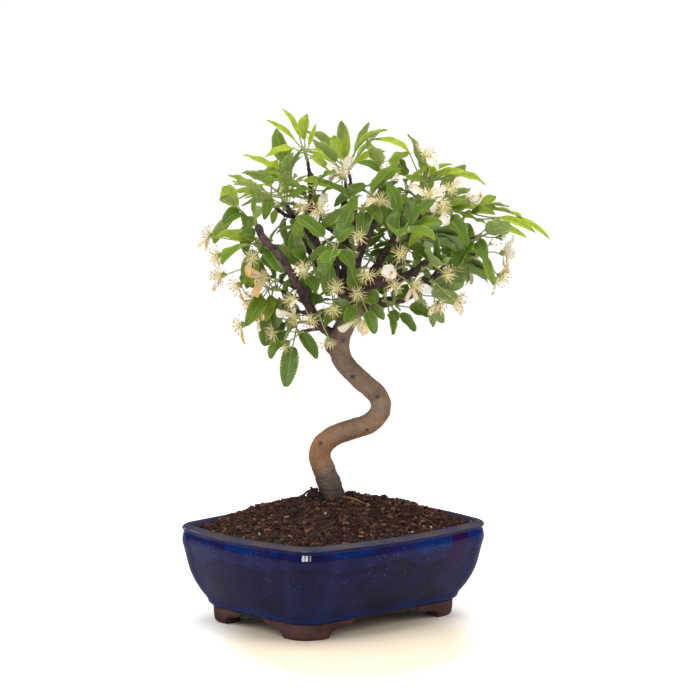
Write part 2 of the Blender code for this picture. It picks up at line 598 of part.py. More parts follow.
class Leaf:
    """A stalked leaf: its midrib bows from root to tip, and its two halves fold up from the rib."""

    def __init__(self, root, tip, facing, width, arch, fold, stalk_share):
        self.root = root
        self.tip = tip
        along = (tip - root).normalized()
        self.side = along.cross(facing).normalized()
        self.facing = self.side.cross(along).normalized()
        self.width = width
        self.arch = arch
        self.fold = fold
        self.stalk_share = stalk_share

    def rib(self, share):
        """A point on the midrib and the leaf's facing there."""
        point = self.root.lerp(self.tip, share) + self.facing * self.arch * 4 * share * (1 - share)
        slope = (self.tip - self.root) + self.facing * self.arch * 4 * (1 - 2 * share)
        return point, self.side.cross(slope.normalized())

    def section(self, share, half_width, half_thickness, lift):
        """Left edge, upper rib, right edge and lower rib of one cross-section."""
        point, facing = self.rib(share)
        edge = facing * lift
        return [point - self.side * half_width + edge, point + facing * half_thickness,
                point + self.side * half_width + edge, point - facing * half_thickness]

    def rings(self, swell=0.0):
        """Sections from the end of the stalk to just short of the tip, then the tip itself."""
        blade_length = (self.tip - self.root).length * (1 - self.stalk_share)
        steps = BLADE_STEPS_LARGE if blade_length > LARGE_BLADE else BLADE_STEPS_SMALL
        sections = [self.section(self.stalk_share, STALK_RADIUS + swell, STALK_RADIUS + swell, 0.0)]
        for number, step in enumerate(steps):
            half = self.width / 2 * blade_half_width(step)
            wave = 0.05 * self.width * (1 if number % 2 else -1)
            share = self.stalk_share + (1 - self.stalk_share) * step
            sections.append(self.section(share, half + swell, RIB_HALF_THICKNESS + swell,
                                         half * self.fold + wave))
        return sections, self.tip + (self.tip - self.root).normalized() * swell

    def solid(self, swell, start):
        """The leaf alone, from a share of its stalk to its tip, as (points, faces)."""
        body = bmesh.new()
        foot = self.section(start * self.stalk_share, STALK_RADIUS + swell, STALK_RADIUS + swell, 0.0)
        base = [body.verts.new(point) for point in foot]
        sections, tip = self.rings(swell)
        skin_rings(body, base, sections, tip)
        body.faces.new(reversed(base))
        return shape_of(body)


def shape_of(body):
    """Points and faces of a bmesh, which is then freed."""
    body.verts.index_update()
    shape = ([vertex.co.copy() for vertex in body.verts],
             [tuple(vertex.index for vertex in face.verts) for face in body.faces])
    body.free()
    return shape


def skin_rings(body, base, sections, tip=None):
    """Grow a skin from a ring of vertices through sections. Quads are split alike on both faces."""
    low = base
    count = len(base)
    for section in sections:
        high = [body.verts.new(point) for point in section]
        for step in range(count):
            after = (step + 1) % count
            if step % 2 and count == 4:
                body.faces.new((low[step], low[after], high[step]))
                body.faces.new((low[after], high[after], high[step]))
            else:
                body.faces.new((low[step], low[after], high[after]))
                body.faces.new((low[step], high[after], high[step]))
        low = high
    if tip is not None:
        point = body.verts.new(tip)
        for step in range(count):
            body.faces.new((low[step], low[(step + 1) % count], point))
    return low


def open_face(body, face, first_section):
    """Take a face away and return its corners in the order that best meets the first section."""
    corners = list(face.verts)
    count = len(corners)
    body.faces.remove(face)
    offsets = range(count)
    best = min(offsets, key=lambda shift: sum((corners[(step + shift) % count].co
                                               - first_section[step]).length
                                              for step in range(count)))
    return [corners[(step + best) % count] for step in range(count)]


def pick_face(faces, goal):
    """The face that looks most towards a goal."""
    return max(faces, key=lambda face: face.normal.dot((goal - face.calc_center_median()).normalized()))


def open_tube(body, path, radii, sides, start_way):
    """Add a closed stem to a bmesh, its side faces left whole; returns those and its end cap."""
    points, faces = loft(tube_rings(path, radii, sides, start_way=start_way))
    corners = [body.verts.new(point) for point in points]
    made = [body.faces.new([corners[index] for index in face]) for face in faces]
    bmesh.ops.recalc_face_normals(body, faces=made)
    body.normal_update()
    return made[:-2], made[-1]


HUB_RADIUS = 0.0021
STAMEN_REACH = 0.0052
PETAL_LENGTH = 0.0125
PETAL_WIDTH = 0.0088
PETAL_HALF_THICKNESS = 0.0004


class Petal:
    """A cupped petal: sections of left edge, right edge and back rib from the hub outward."""

    def __init__(self, root, heading, facing, length, width):
        self.root = root
        self.heading = heading
        self.side = heading.cross(facing).normalized()
        self.facing = self.side.cross(heading).normalized()
        self.length = length
        self.width = width

    def sections(self, swell=0.0):
        made = []
        for share, spread, cup in ((0.18, 0.28, 0.00), (0.55, 0.92, 0.10), (0.86, 0.80, 0.22)):
            middle = self.root + self.heading * self.length * share + self.facing * self.length * cup * 0.6
            half = self.width / 2 * spread + swell
            made.append([middle - self.side * half + self.facing * (half * 0.25),
                         middle + self.side * half + self.facing * (half * 0.25),
                         middle - self.facing * (PETAL_HALF_THICKNESS * 2 + swell)])
        tip = self.root + (self.heading + self.facing * 0.16) * (self.length + swell)
        return made, tip

    def solid(self, swell):
        """The petal beyond its claw, as (points, faces)."""
        body = bmesh.new()
        sections, tip = self.sections(swell)
        base = [body.verts.new(point) for point in sections[0]]
        skin_rings(body, base, sections[1:], tip)
        body.faces.new(reversed(base))
        return shape_of(body)


class Bloom:
    """One spent flower on its stalk: hub, stamens and what petals are left, or a closed bud."""

    def __init__(self, centre, axis, petal_count, rng):
        self.centre = centre
        self.axis = axis
        self.petal_count = petal_count
        self.spin = rng.random() * math.tau
        self.reaches = [rng.uniform(0.85, 1.15) for _ in range(20)]
        self.petal_draws = [(rng.uniform(0.9, 1.15), rng.uniform(0.85, 1.1), rng.uniform(-0.1, 0.4))
                            for _ in range(max(petal_count, 0))]

    def hub(self, body, swell):
        """An icosahedron with one face turned to the stalk; returns its faces, that one first."""
        start = Matrix.Rotation(self.spin, 4, "Z")
        made = bmesh.ops.create_icosphere(body, subdivisions=1, radius=HUB_RADIUS + swell, matrix=start)
        corners = made["verts"]
        faces = list({face for vertex in corners for face in vertex.link_faces})
        body.faces.index_update()
        faces.sort(key=lambda face: face.index)
        body.normal_update()
        turn = faces[0].normal.rotation_difference(-self.axis).to_matrix().to_4x4()
        stretch = Matrix.Scale(1.9, 4, self.axis) if self.petal_count == BUD else Matrix.Identity(4)
        bmesh.ops.transform(body, verts=corners, matrix=Matrix.Translation(self.centre) @ stretch @ turn)
        body.normal_update()
        return faces

    def petals(self, faces):
        """Choose a face for each petal, evenly round the hub; returns (face, petal) pairs."""
        helper = self.axis.orthogonal().normalized()
        across = self.axis.cross(helper)
        used = []
        pairs = []
        for order, (stretch, spread, lean) in enumerate(self.petal_draws):
            angle = self.spin + order / max(self.petal_count, 3) * math.tau
            radial = helper * math.cos(angle) + across * math.sin(angle)
            choices = [face for face in faces[1:] if face not in used
                       and abs(face.normal.dot(self.axis)) < 0.5]
            face = max(choices, key=lambda choice: choice.normal.dot(radial))
            used.append(face)
            heading = (face.normal + self.axis * lean).normalized()
            pairs.append((face, Petal(face.calc_center_median(), heading, self.axis - radial * 0.2,
                                      PETAL_LENGTH * stretch, PETAL_WIDTH * spread)))
        return pairs

    def add_to(self, body, swell=0.0):
        """Add the flower to a bmesh; returns the face that the stalk meets."""
        faces = self.hub(body, swell)
        if self.petal_count == BUD:
            return faces[0]
        pairs = self.petals(faces)
        trees = [BVHTree.FromPolygons(*petal.solid(swell + 0.0002)) for _, petal in pairs]
        used = {face for face, _ in pairs}
        stamens = []
        for number, face in enumerate(faces):
            if face in used or face.normal.dot(self.axis) < -0.45:
                continue
            reach = STAMEN_REACH * self.reaches[number] + swell
            middle = face.calc_center_median()
            narrow = [middle.lerp(corner.co, 0.6) + face.normal * reach * 0.25 for corner in face.verts]
            spike = BVHTree.FromPolygons(narrow + [middle + face.normal * reach],
                                         [(0, 1, 3), (1, 2, 3), (2, 0, 3)])
            if not any(tree.overlap(spike) for tree in trees):
                stamens.append((face, reach))
        foot = faces[0]
        for face, petal in pairs:
            sections, tip = petal.sections(swell)
            skin_rings(body, open_face(body, face, sections[0]), sections, tip)
        for face, reach in stamens:
            bmesh.ops.poke(body, faces=[face], offset=reach)
        return foot

    def solid(self, swell):
        body = bmesh.new()
        self.add_to(body, swell)
        return shape_of(body)


class Claims:
    """Remembers the room that placed pieces take, so that none crosses another.

    A piece has its whole shape, which keeps clear of other nodes, and a trimmed one without its
    root, which keeps clear of the rest of its own node.
    """

    def __init__(self):
        self.kept = []

    def free(self, owner, whole, trimmed):
        ours = {}
        for kept_owner, kept_whole, kept_trimmed in self.kept:
            same = kept_owner == owner
            theirs = kept_trimmed if same else kept_whole
            shape = trimmed if same else whole
            if theirs is None or shape is None:
                continue
            if same not in ours:
                ours[same] = Room(shape)
            if ours[same].meets(theirs):
                return False
        return True

    def keep(self, owner, whole, trimmed):
        self.kept.append((owner, Room(whole), Room(trimmed) if trimmed else None))


class Room:
    """A shape's box and search tree."""

    def __init__(self, shape):
        points, faces = shape
        self.low = [min(point[axis] for point in points) for axis in range(3)]
        self.high = [max(point[axis] for point in points) for axis in range(3)]
        self.tree = BVHTree.FromPolygons(points, faces)

    def meets(self, other):
        if any(self.low[axis] > other.high[axis] or self.high[axis] < other.low[axis]
               for axis in range(3)):
            return False
        return bool(self.tree.overlap(other.tree))


STRAIGHT_SPUR = 0.015


def nearest_limb_point(spot, limb_curves):
    """Where a spur leaves the wood: a point some way back along the nearest limb."""
    best = None
    for curve, radii in limb_curves:
        for number in range(1, len(curve)):
            distance = (curve[number] - spot).length
            if best is None or distance < best[0]:
                best = (distance, curve, radii, number)
    _, curve, radii, number = best
    back = max(1, number - 1)
    return curve[back], radii[back], (curve[number] - curve[back - 1]).normalized()


def spur_path(spot, limb_curves):
    """A short woody spur from the nearest limb to a spot, bowed towards the limb's own way."""
    root, radius, heading = nearest_limb_point(spot, limb_curves)
    reach = (spot - root).length
    if reach < STRAIGHT_SPUR:
        return [root, spot], [min(radius * 0.8, 0.0019), 0.00135]
    knee = root.lerp(spot, 0.55) + heading * reach * 0.10 + Vector((0, 0, 0.04 * reach))
    thick = min(radius * 0.8, 0.0019)
    return [root, knee, spot], [thick, 0.0016, 0.00135]


SHOOT_SIDES = 5
SHOOT_RADII = [0.00115, 0.00110, 0.00100, 0.00075]


def shaken(rng, flat=1.0):
    """A random direction-like vector, each part between -1 and 1."""
    return Vector((rng.uniform(-1, 1), rng.uniform(-1, 1), rng.uniform(-1, 1) * flat))


def shoot_stem(claims, owner, start, wood_end, heading, rng):
    """Find a clear way for a green stem; returns its path."""
    length = rng.uniform(0.009, 0.013)
    first_heading = heading
    for attempt in range(60):
        bend = shaken(rng) * 0.0012
        path = [start, start + heading * length * 0.34 + bend * 0.5,
                start + heading * length * 0.68 + bend, start + heading * length]
        solid = tube(path, SHOOT_RADII, SHOOT_SIDES, swell=CLEARANCE, start_way=wood_end)
        if claims.free(owner, solid, solid):
            break
        heading = (first_heading + shaken(rng) * 0.03 * attempt).normalized()
        length *= 0.99
    claims.keep(owner, solid, solid)
    return path, heading


def grow_shoot(number, claims, wood_end, anchor):
    """The green shoot and leaves of one spray, as a node name and one shape."""
    owner = f"leafy_shoot_{number + 1:02d}"
    spot, ruled, placed = anchor
    rng = random.Random(SEED + number)
    outward = (Vector(spot) - CROWN_HEART).normalized()
    heading = (wood_end * 0.4 + outward * 0.8 + Vector((0, 0, 0.4))).normalized()
    path, heading = shoot_stem(claims, owner, Vector(spot) + wood_end * GAP, wood_end, heading, rng)
    body = bmesh.new()
    sides, _ = open_tube(body, path, SHOOT_RADII, SHOOT_SIDES, wood_end)
    free_sides = sides[SHOOT_SIDES:]
    leaves = []

    def try_leaf(goal, facing, width, arch, fold, stalk):
        face = pick_face(free_sides, goal)
        root = face.calc_center_median()
        if face.normal.dot((goal - root).normalized()) < 0.2:
            return False
        leaf = Leaf(root, goal, facing, width, arch, fold, stalk)
        whole, trimmed = leaf.solid(CLEARANCE, 0.0), leaf.solid(CLEARANCE, 0.45)
        if not claims.free(owner, whole, trimmed):
            return False
        claims.keep(owner, whole, trimmed)
        leaves.append((face, leaf))
        free_sides.remove(face)
        return True

    for tip, width, arch in placed:
        reach = (Vector(tip) - path[-1]).length
        stalk = min(0.45, max(0.24, 1 - 0.029 / reach))
        for attempt in range(40):
            facing = Vector((rng.uniform(-0.35, 0.35), -0.75 + rng.uniform(-0.3, 0.3), 0.75))
            goal = Vector(tip) + shaken(rng) * 0.0006 * attempt
            if try_leaf(goal, facing, width, arch, 0.25, stalk):
                break
    for order in range(ruled):
        angle = order * GOLDEN_ANGLE + number
        for attempt in range(40):
            goal, facing, width = ruled_leaf(path, heading, outward, angle, rng, 1 - 0.009 * attempt)
            if try_leaf(goal, facing, width, rng.uniform(-0.001, 0.004), rng.uniform(0.1, 0.4),
                        rng.uniform(0.26, 0.34)):
                break
            angle += 0.41
    for face, leaf in leaves:
        sections, tip = leaf.rings()
        skin_rings(body, open_face(body, face, sections[0]), sections, tip)
    return owner, shape_of(body)


def ruled_leaf(path, heading, outward, angle, rng, shrink):
    """Tip, facing and width of a leaf that follows the golden-angle rule round the shoot."""
    helper = heading.orthogonal().normalized()
    radial = helper * math.cos(angle) + heading.cross(helper) * math.sin(angle)
    way = (radial + heading * rng.uniform(0.15, 0.75) + outward * 0.25 + Vector((0, 0, 0.05))).normalized()
    length = rng.uniform(0.031, 0.043) * shrink
    facing = heading + Vector((0, 0, 0.35)) + shaken(rng, 0.0) * 0.25
    return path[-1] + way * length, facing, length * rng.uniform(0.36, 0.45)


STALK_SIDES = 3
STALK_RADIUS_OF_BLOOM = 0.00072


def grow_cluster(number, claims, wood_end, anchor):
    """The stalks and blooms of one flower cluster, as a node name and one shape."""
    owner = f"flower_cluster_{number + 1:02d}"
    spot, blooms = anchor
    rng = random.Random(SEED * 7 + number)
    middle = sum((Vector(centre) for centre, _ in blooms), Vector()) / len(blooms)
    heading = (wood_end + (middle - Vector(spot)).normalized()).normalized()
    start = Vector(spot) + wood_end * GAP
    path = [start, start + heading * 0.0040]
    radii = [0.00115, 0.00100]
    base = tube(path, radii, 5, swell=CLEARANCE, start_way=wood_end)
    claims.keep(owner, base, base)
    body = bmesh.new()
    sides, cap = open_tube(body, path, radii, 5, wood_end)
    split = bmesh.ops.triangulate(body, faces=sides + [cap])
    body.normal_update()
    free_faces = split["faces"]
    for centre, petal_count in blooms:
        for attempt in range(40):
            goal = Vector(centre) + shaken(rng) * 0.0007 * attempt
            face = pick_face(free_faces, goal)
            root = face.calc_center_median()
            away = (goal - root).normalized()
            axis = (away + (goal - CROWN_HEART).normalized() * 0.8 + Vector((0, -0.25, 0.05))).normalized()
            foot = goal - axis * (HUB_RADIUS + 0.0016)
            knee = root.lerp(foot, 0.5) + shaken(rng) * (0.0008 + 0.0003 * attempt)
            route = [root, knee, foot]
            bloom = Bloom(goal, axis, petal_count, rng)
            flower = bloom.solid(CLEARANCE)
            widths = [STALK_RADIUS_OF_BLOOM] * 3
            whole = tube(route, widths, STALK_SIDES, swell=CLEARANCE)
            trimmed = tube([root.lerp(knee, 0.5), knee, foot], widths, STALK_SIDES, swell=CLEARANCE)
            if claims.free(owner, whole, trimmed) and claims.free(owner, flower, flower):
                break
        claims.keep(owner, whole, trimmed)
        claims.keep(owner, flower, flower)
        free_faces.remove(face)
        sections = tube_rings(route, widths, STALK_SIDES)[1:]
        end = skin_rings(body, open_face(body, face, sections[0]), sections)
        meeting = bloom.add_to(body)
        rim = list(meeting.verts)[::-1]
        body.faces.remove(meeting)
        join_rings(body, end, rim)
    return owner, shape_of(body)


def join_rings(body, low, high):
    """Close the gap between two rings of three, at the turn that twists least."""
    count = len(low)
    best = min(range(count), key=lambda shift: sum((low[step].co - high[(step + shift) % count].co).length
                                                   for step in range(count)))
    high = [high[(step + best) % count] for step in range(count)]
    for step in range(count):
        after = (step + 1) % count
        body.faces.new((low[step], low[after], high[after]))
        body.faces.new((low[step], high[after], high[step]))


LIMB_STEPS = 1
TRUNK_STEPS = 2
SPUR_SEARCH_STEPS = 3
SPUR_SIDES = 3


def make_wood(material, parent, claims):
    """Trunk, limbs, snag and spurs as one grown piece; returns where each spur points."""
    trunk_curve = curve_through(TRUNK_ROUTE, TRUNK_STEPS)
    trunk_radii = between(TRUNK_RADII, TRUNK_STEPS)
    limb_curves = []
    shapes = []
    for number, (route, root_radius, end_radius) in enumerate(LIMBS.values()):
        curve = curve_through(route, LIMB_STEPS)
        radii = between([root_radius, end_radius], len(curve) - 1)
        fine_curve = curve_through(route, SPUR_SEARCH_STEPS)
        limb_curves.append((fine_curve, between([root_radius, end_radius], len(fine_curve) - 1)))
        sides = 6 if root_radius > 0.0033 else 5
        shapes.append(tube(curve, radii, sides, twist=0.2 + number))
        claims.keep("trunk", tube(curve, radii, sides, twist=0.2 + number, swell=CLEARANCE), None)
    shapes.append(tube([Vector(point) for point in SNAG_ROUTE], [0.0030, 0.0026, 0.0022], 5))
    claims.keep("trunk", tube(trunk_curve, trunk_radii, TRUNK_SIDES, swell=CLEARANCE), None)
    ends = []
    for number, anchor in enumerate(SHOOTS + CLUSTERS):
        path, radii = spur_path(Vector(anchor[0]), limb_curves)
        ends.append((path[-1] - path[-2]).normalized())
        shapes.append(tube(path, radii, SPUR_SIDES, twist=0.3 * number))
        short = path[:-1] + [path[-2].lerp(path[-1], 0.9)]
        claims.keep("trunk", tube(short, radii, SPUR_SIDES, twist=0.3 * number, swell=CLEARANCE), None)
    trunk = add_object("trunk", tube(trunk_curve, trunk_radii, TRUNK_SIDES), material, parent)
    bpy.context.view_layer.update()
    fuse(trunk, shapes)
    return ends


def build():
    clear_scene()
    blue = finish_material("cobalt_glaze", POT_BLUE, 0.12)
    peat = finish_material("bark_and_peat", PEAT_BROWN, 0.95)
    bark = finish_material("bark", BARK_TAN, 0.8)
    leaf_green = finish_material("leaf", LEAF_GREEN, 0.45)
    cream = finish_material("bloom", BLOOM_CREAM, 0.6)
    plastic = finish_material("screen_plastic", SCREEN_BLACK, 0.5)

    whole = bpy.data.objects.new("whole", None)
    tree_axis = bpy.data.objects.new("tree_axis", None)
    for empty in (whole, tree_axis):
        bpy.context.scene.collection.objects.link(empty)
    tree_axis.parent = whole
    tree_axis.rotation_euler = (0, 0, TREE_TURN)
    bpy.context.view_layer.update()
    socket_centre = tree_axis.matrix_world @ STEM_FOOT

    potted = [make_pot(blue),
              make_screen("drain_screen_left", -DRAIN_SPACING / 2, plastic),
              make_screen("drain_screen_right", DRAIN_SPACING / 2, plastic),
              make_soil(peat, socket_centre)]
    for item in potted:
        item.parent = whole

    claims = Claims()
    ends = make_wood(bark, tree_axis, claims)
    for number, anchor in enumerate(CLUSTERS):
        owner, shape = grow_cluster(number, claims, ends[len(SHOOTS) + number], anchor)
        add_object(owner, shape, cream, tree_axis)
    for number, anchor in enumerate(SHOOTS):
        owner, shape = grow_shoot(number, claims, ends[number], anchor)
        add_object(owner, shape, leaf_green, tree_axis)
    stand_over_origin(whole)


def stand_over_origin(whole):
    """Move the whole so that the middle of its bounding box is over the origin."""
    bpy.context.view_layer.update()
    corners = [item.matrix_world @ vertex.co for item in bpy.context.scene.objects
               if item.type == "MESH" for vertex in item.data.vertices]
    for axis in range(2):
        low = min(corner[axis] for corner in corners)
        high = max(corner[axis] for corner in corners)
        whole.location[axis] = -(low + high) / 2


build()
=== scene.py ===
"""Looks of the crabapple bonsai: a bulged cobalt pot, its soil, the S-bent tree, its leaves and blooms."""
import math
import random

import bmesh
import bpy
import numpy as np
from mathutils import Matrix, Vector, noise
from mathutils.kdtree import KDTree


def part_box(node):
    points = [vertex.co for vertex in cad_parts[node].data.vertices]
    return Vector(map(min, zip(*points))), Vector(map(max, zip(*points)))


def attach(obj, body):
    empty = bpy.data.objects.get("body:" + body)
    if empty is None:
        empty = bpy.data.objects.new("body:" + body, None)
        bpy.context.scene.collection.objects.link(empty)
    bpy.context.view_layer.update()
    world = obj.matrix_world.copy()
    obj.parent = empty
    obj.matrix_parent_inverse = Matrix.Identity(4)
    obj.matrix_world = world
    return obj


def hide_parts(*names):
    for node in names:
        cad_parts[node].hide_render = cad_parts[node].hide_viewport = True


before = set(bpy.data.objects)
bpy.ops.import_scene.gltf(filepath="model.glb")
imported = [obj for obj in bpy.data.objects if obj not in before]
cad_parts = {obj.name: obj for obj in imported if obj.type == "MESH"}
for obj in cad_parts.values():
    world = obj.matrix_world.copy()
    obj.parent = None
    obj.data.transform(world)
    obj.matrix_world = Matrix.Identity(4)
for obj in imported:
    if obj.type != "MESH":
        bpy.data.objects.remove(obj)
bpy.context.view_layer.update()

# The stage. The pot stands on a seamless white table in soft daylight, and the camera looks along the
# tree's own front, a little down onto the soil. None of it belongs to the object.
TREE_TURN = math.radians(-42.0)
pot_low, pot_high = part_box("pot")
pot_middle = Vector(((pot_low.x + pot_high.x) / 2, (pot_low.y + pot_high.y) / 2, 0.0))
tree_frame = Matrix.Translation(pot_middle) @ Matrix.Rotation(TREE_TURN, 4, "Z")

CAMERA_SPOT = Vector((0.0, -1.8476, 0.389))
CAMERA_AIM = Vector((0.0121, 0.0, 0.2005))
CAMERA_LENS, SENSOR_WIDTH = 128.9, 36.0
camera_data = bpy.data.cameras.new("camera")
camera_data.sensor_width = SENSOR_WIDTH
camera_data.lens = CAMERA_LENS
camera = bpy.data.objects.new("camera", camera_data)
bpy.context.scene.collection.objects.link(camera)
camera.location = tree_frame @ CAMERA_SPOT
camera.rotation_euler = (tree_frame @ CAMERA_AIM - camera.location).to_track_quat("-Z", "Y").to_euler()
bpy.context.scene.camera = camera
bpy.context.scene.view_settings.view_transform = "Standard"


class Nodes:
    """Lays nodes into one node tree. A socket's value is a plain value or another node's socket."""

    def __init__(self, tree):
        self.tree = tree

    def add(self, kind, sockets=None, **settings):
        node = self.tree.nodes.new("ShaderNode" + kind)
        for name, value in settings.items():
            setattr(node, name, value)
        for name, value in (sockets or {}).items():
            self.join(value, node.inputs[name])
        return node

    def join(self, value, socket):
        if isinstance(value, bpy.types.NodeSocket):
            self.tree.links.new(value, socket)
        else:
            socket.default_value = value

    def maths(self, operation, *values):
        return self.add("Math", dict(enumerate(values)), operation=operation).outputs[0]

    def blend(self, share, first, second):
        """Mix two colours. A Mix node's colour sockets come after those for numbers and vectors."""
        node = self.add("Mix", data_type="RGBA")
        for value, number in ((share, 0), (first, 6), (second, 7)):
            self.join((*value, 1.0) if isinstance(value, tuple) and len(value) == 3 else value,
                      node.inputs[number])
        return node.outputs[2]

    def over(self, body, mask, strength, colour):
        """Lay a colour over the body where a mask says, as strongly as strength says."""
        return self.blend(self.maths("MULTIPLY", mask, strength), body, colour)

    def ramp(self, value, low, high, to_low=0.0, to_high=1.0):
        """Ease a value from one range to another."""
        return self.add("MapRange", {"Value": value, "From Min": low, "From Max": high,
                                     "To Min": to_low, "To Max": to_high},
                        interpolation_type="SMOOTHSTEP").outputs[0]

    def value_of(self, name):
        """A value kept on the piece's own points."""
        return self.add("Attribute", attribute_name=name, attribute_type="GEOMETRY").outputs["Fac"]

    def grain(self, vector, scale, detail=2.0):
        return self.add("TexNoise", {"Vector": vector, "Scale": scale, "Detail": detail}).outputs["Fac"]

    def length(self, vector):
        return self.add("VectorMath", {0: vector}, operation="LENGTH").outputs["Value"]

    def measured_from(self, middle, size, turn):
        """The piece's own coordinates, measured from a middle in units of a size and turned."""
        return self.add("Mapping", {"Vector": self.add("TexCoord").outputs["Object"], "Location": middle,
                                    "Rotation": turn, "Scale": size}, vector_type="TEXTURE").outputs[0]

    def group(self, tree, sockets):
        node = self.tree.nodes.new("ShaderNodeGroup")
        node.node_tree = tree
        for name, value in sockets.items():
            self.join(value, node.inputs[name])
        return node


def new_finish(name, roughness=0.5, **plain):
    """An empty material: its nodes and its shader. Plain values go straight onto the shader."""
    material = bpy.data.materials.new(name)
    material.use_nodes = True
    shader = material.node_tree.nodes["Principled BSDF"]
    shader.inputs["Roughness"].default_value = roughness
    for socket, value in plain.items():
        shader.inputs[socket.replace("_", " ").title().replace("Ior", "IOR")].default_value = value
    return material, Nodes(material.node_tree), shader


def add_piece(name, points, faces, finishes, finish_of_face=None, values=None, sharp=None):
    """A smooth-shaded mesh object from points and faces, with values kept on its points."""
    mesh = bpy.data.meshes.new(name)
    mesh.from_pydata([tuple(point) for point in points], [], faces)
    for finish in finishes:
        mesh.materials.append(finish)
    if finish_of_face:
        mesh.polygons.foreach_set("material_index", finish_of_face)
    for label, listed in (values or {}).items():
        layer = mesh.attributes.new(label, "FLOAT", "POINT")
        layer.data.foreach_set("value", listed)
    mesh.shade_smooth()
    if sharp:
        mesh.set_sharp_from_angle(angle=math.radians(sharp))
    piece = bpy.data.objects.new(name, mesh)
    bpy.context.scene.collection.objects.link(piece)
    return piece


def bridge(rings, start=0, close_start=True, close_end=True):
    """Faces that skin equal closed rings of points numbered from start."""
    count = len(rings[0])
    faces = []
    for level in range(len(rings) - 1):
        low, high = start + level * count, start + (level + 1) * count
        faces += [(low + step, low + (step + 1) % count, high + (step + 1) % count, high + step)
                  for step in range(count)]
    if close_start:
        faces.append(tuple(range(start + count - 1, start - 1, -1)))
    if close_end:
        top = start + (len(rings) - 1) * count
        faces.append(tuple(range(top, top + count)))
    return faces


def round_ring(centre, radius, count):
    """A level ring of points."""
    return [centre + Vector((radius * math.cos(step / count * math.tau),
                             radius * math.sin(step / count * math.tau), 0.0)) for step in range(count)]


TABLE_RINGS, TABLE_SIDES = (0.15, 0.4, 1.0, 3.0, 9.0), 96
# Where the lit white of the table starts to run into the glowing room, and where it ends
TABLE_LIT = (0.30, 0.85)
TABLE_WHITE = (1.16, 1.14, 1.11)
TABLE_GLOW = 1.05
TABLE_MIRRORED, GLOW_KEPT_OUT = 0.26, -0.7
# A pool of warm light painted into the table's colour in front of the pot
PAINTED_WARM_LIGHT = (0.80, 0.70, 0.55)
WARM_LIGHT_MIDDLE = tree_frame @ Vector((0.014, -0.094, 0.0))
WARM_LIGHT_SIZE = (0.122, 0.160, 1.0)
WARM_LIGHT_EDGE = (1.0, 0.55)
BLACK, WHITE = (0.0, 0.0, 0.0), (1.0, 1.0, 1.0)
table_rings = [round_ring(Vector(), reach, TABLE_SIDES) for reach in TABLE_RINGS]
white, nodes, shader = new_finish("white_table", roughness=0.9, specular_ior_level=0.1)
spot = nodes.add("Mapping", {"Vector": nodes.add("TexCoord").outputs["Object"],
                             "Location": (-pot_middle.x, -pot_middle.y, 0.0)})
far = nodes.ramp(nodes.length(spot.outputs[0]), *TABLE_LIT)
# The painted pool of warm light, soft at its edge
warm_light_spot = nodes.measured_from(WARM_LIGHT_MIDDLE, WARM_LIGHT_SIZE, (0.0, 0.0, TREE_TURN))
near_white = nodes.blend(nodes.ramp(nodes.length(warm_light_spot), *WARM_LIGHT_EDGE), TABLE_WHITE, PAINTED_WARM_LIGHT)
mirrored = nodes.add("LightPath").outputs["Is Glossy Ray"]
near_white = nodes.blend(mirrored, near_white, (TABLE_MIRRORED,) * 3)
nodes.join(nodes.blend(far, near_white, BLACK), shader.inputs["Base Color"])
glow = nodes.maths("MULTIPLY", far, nodes.maths("MULTIPLY_ADD", mirrored, GLOW_KEPT_OUT, 1.0))
nodes.join(nodes.blend(glow, BLACK, WHITE), shader.inputs["Emission Color"])
shader.inputs["Emission Strength"].default_value = TABLE_GLOW
table = add_piece("white_table", [point for ring in table_rings for point in ring],
                  bridge(table_rings, close_end=False), [white])

ROOM_SEEN = 1.05
ROOM_LIGHT = 0.66
ROOM_MIRRORED = 0.05
world = bpy.data.worlds.new("room")
bpy.context.scene.world = world
world.use_nodes = True
nodes = Nodes(world.node_tree)
way = nodes.add("LightPath")
strength = nodes.maths("MULTIPLY_ADD", way.outputs["Is Camera Ray"], ROOM_SEEN - ROOM_LIGHT, ROOM_LIGHT)
strength = nodes.maths("MULTIPLY_ADD", way.outputs["Is Glossy Ray"], ROOM_MIRRORED - ROOM_LIGHT, strength)
background = world.node_tree.nodes["Background"]
background.inputs["Color"].default_value = (*WHITE, 1.0)
nodes.join(strength, background.inputs["Strength"])

# Soft lamps: where each hangs in the tree's frame, what it looks at, its size, power and tint. The lamps
# light the tree and stay out of its glaze; the window panes only show as bright spots in the glaze.
LAMPS = {
    "window_left": ((-1.15, -0.95, 1.25), (0.0, 0.0, 0.15), (1.10, 1.30), 14.0, (1.0, 0.99, 0.97)),
    "window_right": ((1.30, -0.60, 0.90), (0.0, 0.0, 0.15), (0.90, 1.10), 9.0, (1.0, 0.98, 0.95)),
    "sky": ((0.10, 0.10, 1.70), (0.0, 0.0, 0.15), (1.60, 1.60), 25.0, (0.98, 0.99, 1.0)),
    "pane_left": ((-0.78, -1.85, 0.46), (0.0, 0.0, 0.06), (0.30, 0.42), 7.0, (1.0, 1.0, 1.0)),
    "pane_middle": ((-0.40, -1.95, 0.46), (0.0, 0.0, 0.06), (0.30, 0.42), 7.0, (1.0, 1.0, 1.0)),
    "pane_right": ((0.04, -1.98, 0.46), (0.0, 0.0, 0.06), (0.22, 0.42), 1.8, (1.0, 1.0, 1.0)),
    "pane_behind": ((-1.38, 1.16, 0.46), (0.0, 0.0, 0.06), (0.45, 0.42), 2.5, (1.0, 1.0, 1.0)),
}
